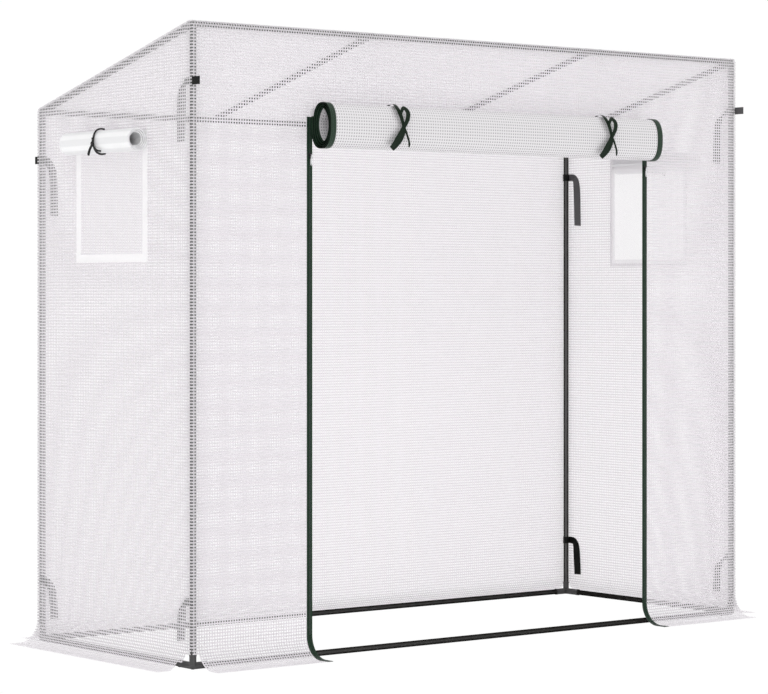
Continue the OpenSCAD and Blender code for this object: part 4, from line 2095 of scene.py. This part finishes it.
@dataclass
class Straps:
    """The webbing straps that tie the cover to the posts: a loop, a twist and a hanging tail.

    Attributes:
        thickness: The webbing's thickness.
        play: The gap between a loop and its post.
        upper_hang: How far the upper straps' tails hang.
        lower_top: The height of the lower straps' tops.
        lower_hang: How far the lower straps' tails hang.
        front_stub: How far a front upper strap's short end sticks out.
        back_stub: How far a back one's sticks out.
    """

    thickness: float = 0.0012
    play: float = 0.0003
    upper_hang: float = 0.168
    lower_top: float = 0.186
    lower_hang: float = 0.118
    front_stub: float = 0.034
    back_stub: float = 0.014

    def webbing(
        self, name: str, line: list[Vector], halves: list[Vector], out: Vector, faces: Faces
    ) -> bpy.types.Object:
        """Returns a stretch of webbing.

        Args:
            name: Its name.
            line: The points along its middle.
            halves: Half its width at each point, or one for all.
            out: The way that its outer face first looks.
            faces: The finishes of its outer face and its inner one.

        Returns:
            The stretch.
        """
        strap = Bench.pull_sheet(name, line, halves, out)
        for finish in faces:
            strap.data.materials.append(finish)
        Bench.thicken(strap, self.thickness, back=1)
        return strap

    def loop(self, x: float, y: float, top: float, faces: Faces) -> bpy.types.Object:
        """Makes the loop round a post.

        Args:
            x: The post's place along the front.
            y: Its place across the depth.
            top: The strap's top.
            faces: The finishes of its outer face and its inner one.

        Returns:
            The loop.
        """
        reach = SITE.tube_r + self.play + self.thickness / 2
        middle, half = top - SITE.strap_width / 2, UP * SITE.strap_width / 2
        line = [Vector((x + a, y + b, middle)) for a, b in arc((0.0, 0.0), reach, 0, 360, 24)]
        return self.webbing("loop", line, [half], ALONG_X, faces)

    def tail(self, x: float, y: float, top: float, hang: float, faces: Faces) -> bpy.types.Object:
        """Returns a tail that leaves the post along the side wall, twists and hangs.

        Args:
            x: The post's place along the front.
            y: Its place across the depth.
            top: The strap's top.
            hang: How far the tail hangs.
            faces: The finishes of its outer face and its inner one.

        Returns:
            The tail.
        """
        side, end = math.copysign(1, x), math.copysign(1, y)
        near, half_width = SITE.tube_r + self.thickness, SITE.strap_width / 2
        stops = [
            (near, 0.0, 0.0, 90.0),
            (near, 0.014, 0.0, 90.0),
            (near - 0.002, 0.030, -0.002, 70.0),
            (near - 0.006, 0.044, -0.014, 36.0),
            (near - 0.010, 0.052, -0.034, 10.0),
            (near - 0.011, 0.055, -0.062, 0.0),
            (near - 0.011, 0.057, -hang * 0.75, -3.0),
            (near - 0.011, 0.058, half_width - hang, -4.0),
        ]
        flat, middle = Vector((0.8, -0.6, 0.0)), top - half_width
        line, halves = [], []
        for out, into, drop, lean in eased(stops):
            line.append(Vector((x + side * out, y - end * into, middle + drop)))
            angle = math.radians(lean)
            halves.append((UP * math.sin(angle) + flat * math.cos(angle)) * half_width)
        return self.webbing("tail", line, halves, ALONG_X * side, faces)

    def stub(self, x: float, y: float, top: float, faces: Faces) -> bpy.types.Object:
        """Makes an upper strap's short end, out through the corner of the cover.

        Args:
            x: The post's place along the front.
            y: Its place across the depth.
            top: The strap's top.
            faces: The finishes of its outer face and its inner one.

        Returns:
            The short end.
        """
        side, end = math.copysign(1, x), math.copysign(1, y)
        at, middle = x + side * (SITE.tube_r + self.thickness), top - SITE.strap_width / 2
        reach = SITE.cover_r + SITE.film + (self.front_stub if y < 0 else self.back_stub)
        line = [Vector((at, y + end * reach * share, middle)) for share in (0.0, 0.3, 0.6, 1.0)]
        return self.webbing("stub", line, [UP * SITE.strap_width / 2], ALONG_X * side, faces)

    def build(self, finishes: Finishes) -> None:
        """Makes the eight straps, as an upper and a lower group.

        Args:
            finishes: The finishes.
        """
        upper, lower = [], []
        # The upper straps' inner faces take the lighter copy of the webbing as painted light; the
        # lower straps are dark on both faces.
        outer_and_lit_inner = (finishes.webbing, finishes.webbing_back)
        dark = (finishes.webbing, finishes.webbing)
        for side in Side:
            for wall in Wall:
                x, y = side.value * SITE.post_x, wall.value * SITE.post_y
                top = SITE.front_strap_z if wall is Wall.FRONT else SITE.back_strap_z
                upper.append(self.loop(x, y, top, outer_and_lit_inner))
                upper.append(self.tail(x, y, top, self.upper_hang, outer_and_lit_inner))
                upper.append(self.stub(x, y, top, outer_and_lit_inner))
                lower.append(self.loop(x, y, self.lower_top, dark))
                lower.append(self.tail(x, y, self.lower_top, self.lower_hang, dark))
        for word, parts in (("upper", upper), ("lower", lower)):
            straps = Bench.join(parts, word + "_straps_webbing")
            Bench.smooth(straps, 60.0)
            Bench.hand_in(straps, None, "strap_webbing", "frame", (word + "_straps",))


class Hardware:
    """The CAD nodes that stay as they are: tubes, connectors, sliders and pulls."""

    def dress(self, nodes: dict[str, bpy.types.Object], finishes: Finishes) -> None:
        """Gives each kept node its finish.

        Args:
            nodes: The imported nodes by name.
            finishes: The finishes.
        """
        tubes = ("post_", "base_rail_", "ridge_rail_", "eave_rail_", "roof_bar_")
        connectors = ("base_corner_", "ridge_corner_", "eave_corner_", "ridge_tee_", "eave_tee_")
        kinds = (
            (tubes, finishes.tube),
            (connectors, finishes.connector),
            (("zip_slider_",), finishes.slider),
            (("zip_pull_",), finishes.pull),
        )
        for starts, finish in kinds:
            for name, node in nodes.items():
                if name.startswith(starts):
                    node.data.materials.clear()
                    node.data.materials.append(finish)
                    log.info("%s: %s", name, finish.name)


@dataclass
class Studio:
    """The plain pale floor, the soft light and the camera at the photograph's place.

    Attributes:
        camera_at: The camera's place.
        turn: Its turn about the vertical, in radians.
        lens: Its focal length on a 36 mm sensor.
        shift: Its lens shift upwards.
        backdrop: How bright the floor and the backdrop show.
        zenith: The sky's strength overhead.
        horizon: The sky's strength at the horizon.
        floor_glow: Light that the floor gives by itself.
        floor_size: The floor's side.
        floor_z: Its height, just under the base.
        key_at: The key light's place; it looks at the origin.
        key_size: Its side.
        key_power: Its power in watts.
    """

    camera_at: tuple[float, float, float] = (-5.1248, -6.4004, 0.9917)
    turn: float = -0.6694
    lens: float = 130.95
    shift: float = -0.0749
    backdrop: float = 1.01
    zenith: float = 1.27
    horizon: float = 0.94
    floor_glow: float = 0.2
    floor_size: float = 60.0
    floor_z: float = -0.0005
    key_at: tuple[float, float, float] = (-4.2, -5.2, 4.6)
    key_size: float = 1.6
    key_power: float = 42.0

    def camera(self) -> None:
        """Sets up the camera."""
        data = bpy.data.cameras.new("camera")
        data.sensor_width, data.lens, data.shift_y = 36.0, self.lens, self.shift
        camera = bpy.data.objects.new("camera", data)
        camera.location = self.camera_at
        camera.rotation_euler = (math.pi / 2, 0.0, self.turn)
        bpy.context.scene.collection.objects.link(camera)
        bpy.context.scene.camera = camera

    def floor(self) -> None:
        """Lays the floor."""
        Bench.hold(None)
        bpy.ops.mesh.primitive_plane_add(size=self.floor_size, location=(0.0, 0.0, self.floor_z))
        floor = bpy.context.active_object
        floor.name = "floor"
        recipe = Recipe("pale_floor")
        recipe.set(
            Base_Color=(0.97, 0.97, 0.97, 1.0),
            Roughness=0.9,
            Emission_Strength=self.floor_glow,
            Emission_Color=(1.0, 1.0, 1.0, 1.0),
        )
        seen = recipe.add("Emission")
        recipe.feed(seen.inputs["Strength"], self.backdrop)
        mix = recipe.add("MixShader")
        recipe.feed(mix.inputs[0], recipe.add("LightPath").outputs["Is Camera Ray"])
        recipe.feed(mix.inputs[1], recipe.shader.outputs[0])
        recipe.feed(mix.inputs[2], seen.outputs[0])
        recipe.feed(recipe.output.inputs["Surface"], mix.outputs[0])
        floor.data.materials.append(recipe.material)

    def light(self) -> None:
        """Lights the set: a soft sky, a white backdrop and one key light from the front left.

        The denoiser works without its prefilter, which would wipe out the film's fine grid.
        """
        world = bpy.data.worlds.new("studio")
        world.use_nodes = True
        nodes, links = world.node_tree.nodes, world.node_tree.links
        sky = nodes["Background"]
        sky.inputs["Color"].default_value = (1.0, 1.0, 1.0, 1.0)
        parts = nodes.new("ShaderNodeSeparateXYZ")
        links.new(nodes.new("ShaderNodeTexCoord").outputs["Generated"], parts.inputs[0])
        height = nodes.new("ShaderNodeMapRange")
        height.inputs["To Min"].default_value = self.horizon
        height.inputs["To Max"].default_value = self.zenith
        links.new(parts.outputs[2], height.inputs["Value"])
        links.new(height.outputs[0], sky.inputs["Strength"])
        backdrop = nodes.new("ShaderNodeBackground")
        backdrop.inputs["Color"].default_value = (1.0, 1.0, 1.0, 1.0)
        backdrop.inputs["Strength"].default_value = self.backdrop
        mix = nodes.new("ShaderNodeMixShader")
        links.new(nodes.new("ShaderNodeLightPath").outputs["Is Camera Ray"], mix.inputs[0])
        links.new(sky.outputs[0], mix.inputs[1])
        links.new(backdrop.outputs[0], mix.inputs[2])
        links.new(mix.outputs[0], nodes["World Output"].inputs["Surface"])
        bpy.context.scene.world = world
        bpy.context.scene.view_settings.view_transform = "Standard"
        bpy.context.scene.cycles.denoising_prefilter = "NONE"
        data = bpy.data.lights.new("key", "AREA")
        data.size, data.energy = self.key_size, self.key_power
        key = bpy.data.objects.new("key", data)
        key.location = self.key_at
        key.rotation_euler = (-Vector(self.key_at)).to_track_quat("-Z", "Y").to_euler()
        bpy.context.scene.collection.objects.link(key)

    def build(self) -> None:
        """Sets up the whole studio."""
        self.camera()
        self.floor()
        self.light()


def main() -> None:
    """Builds the greenhouse's looks in order."""
    logging.basicConfig(level=logging.INFO, format="%(message)s")
    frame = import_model()
    Studio().build()
    finishes = Finishes.make()
    Hardware().dress(frame["nodes"], finishes)
    Cover().build(finishes)
    Window().build(finishes)
    DoorRoll().build(finishes)
    Zips().build(finishes)
    Straps().build(finishes)


if __name__ == "__main__":
    main()
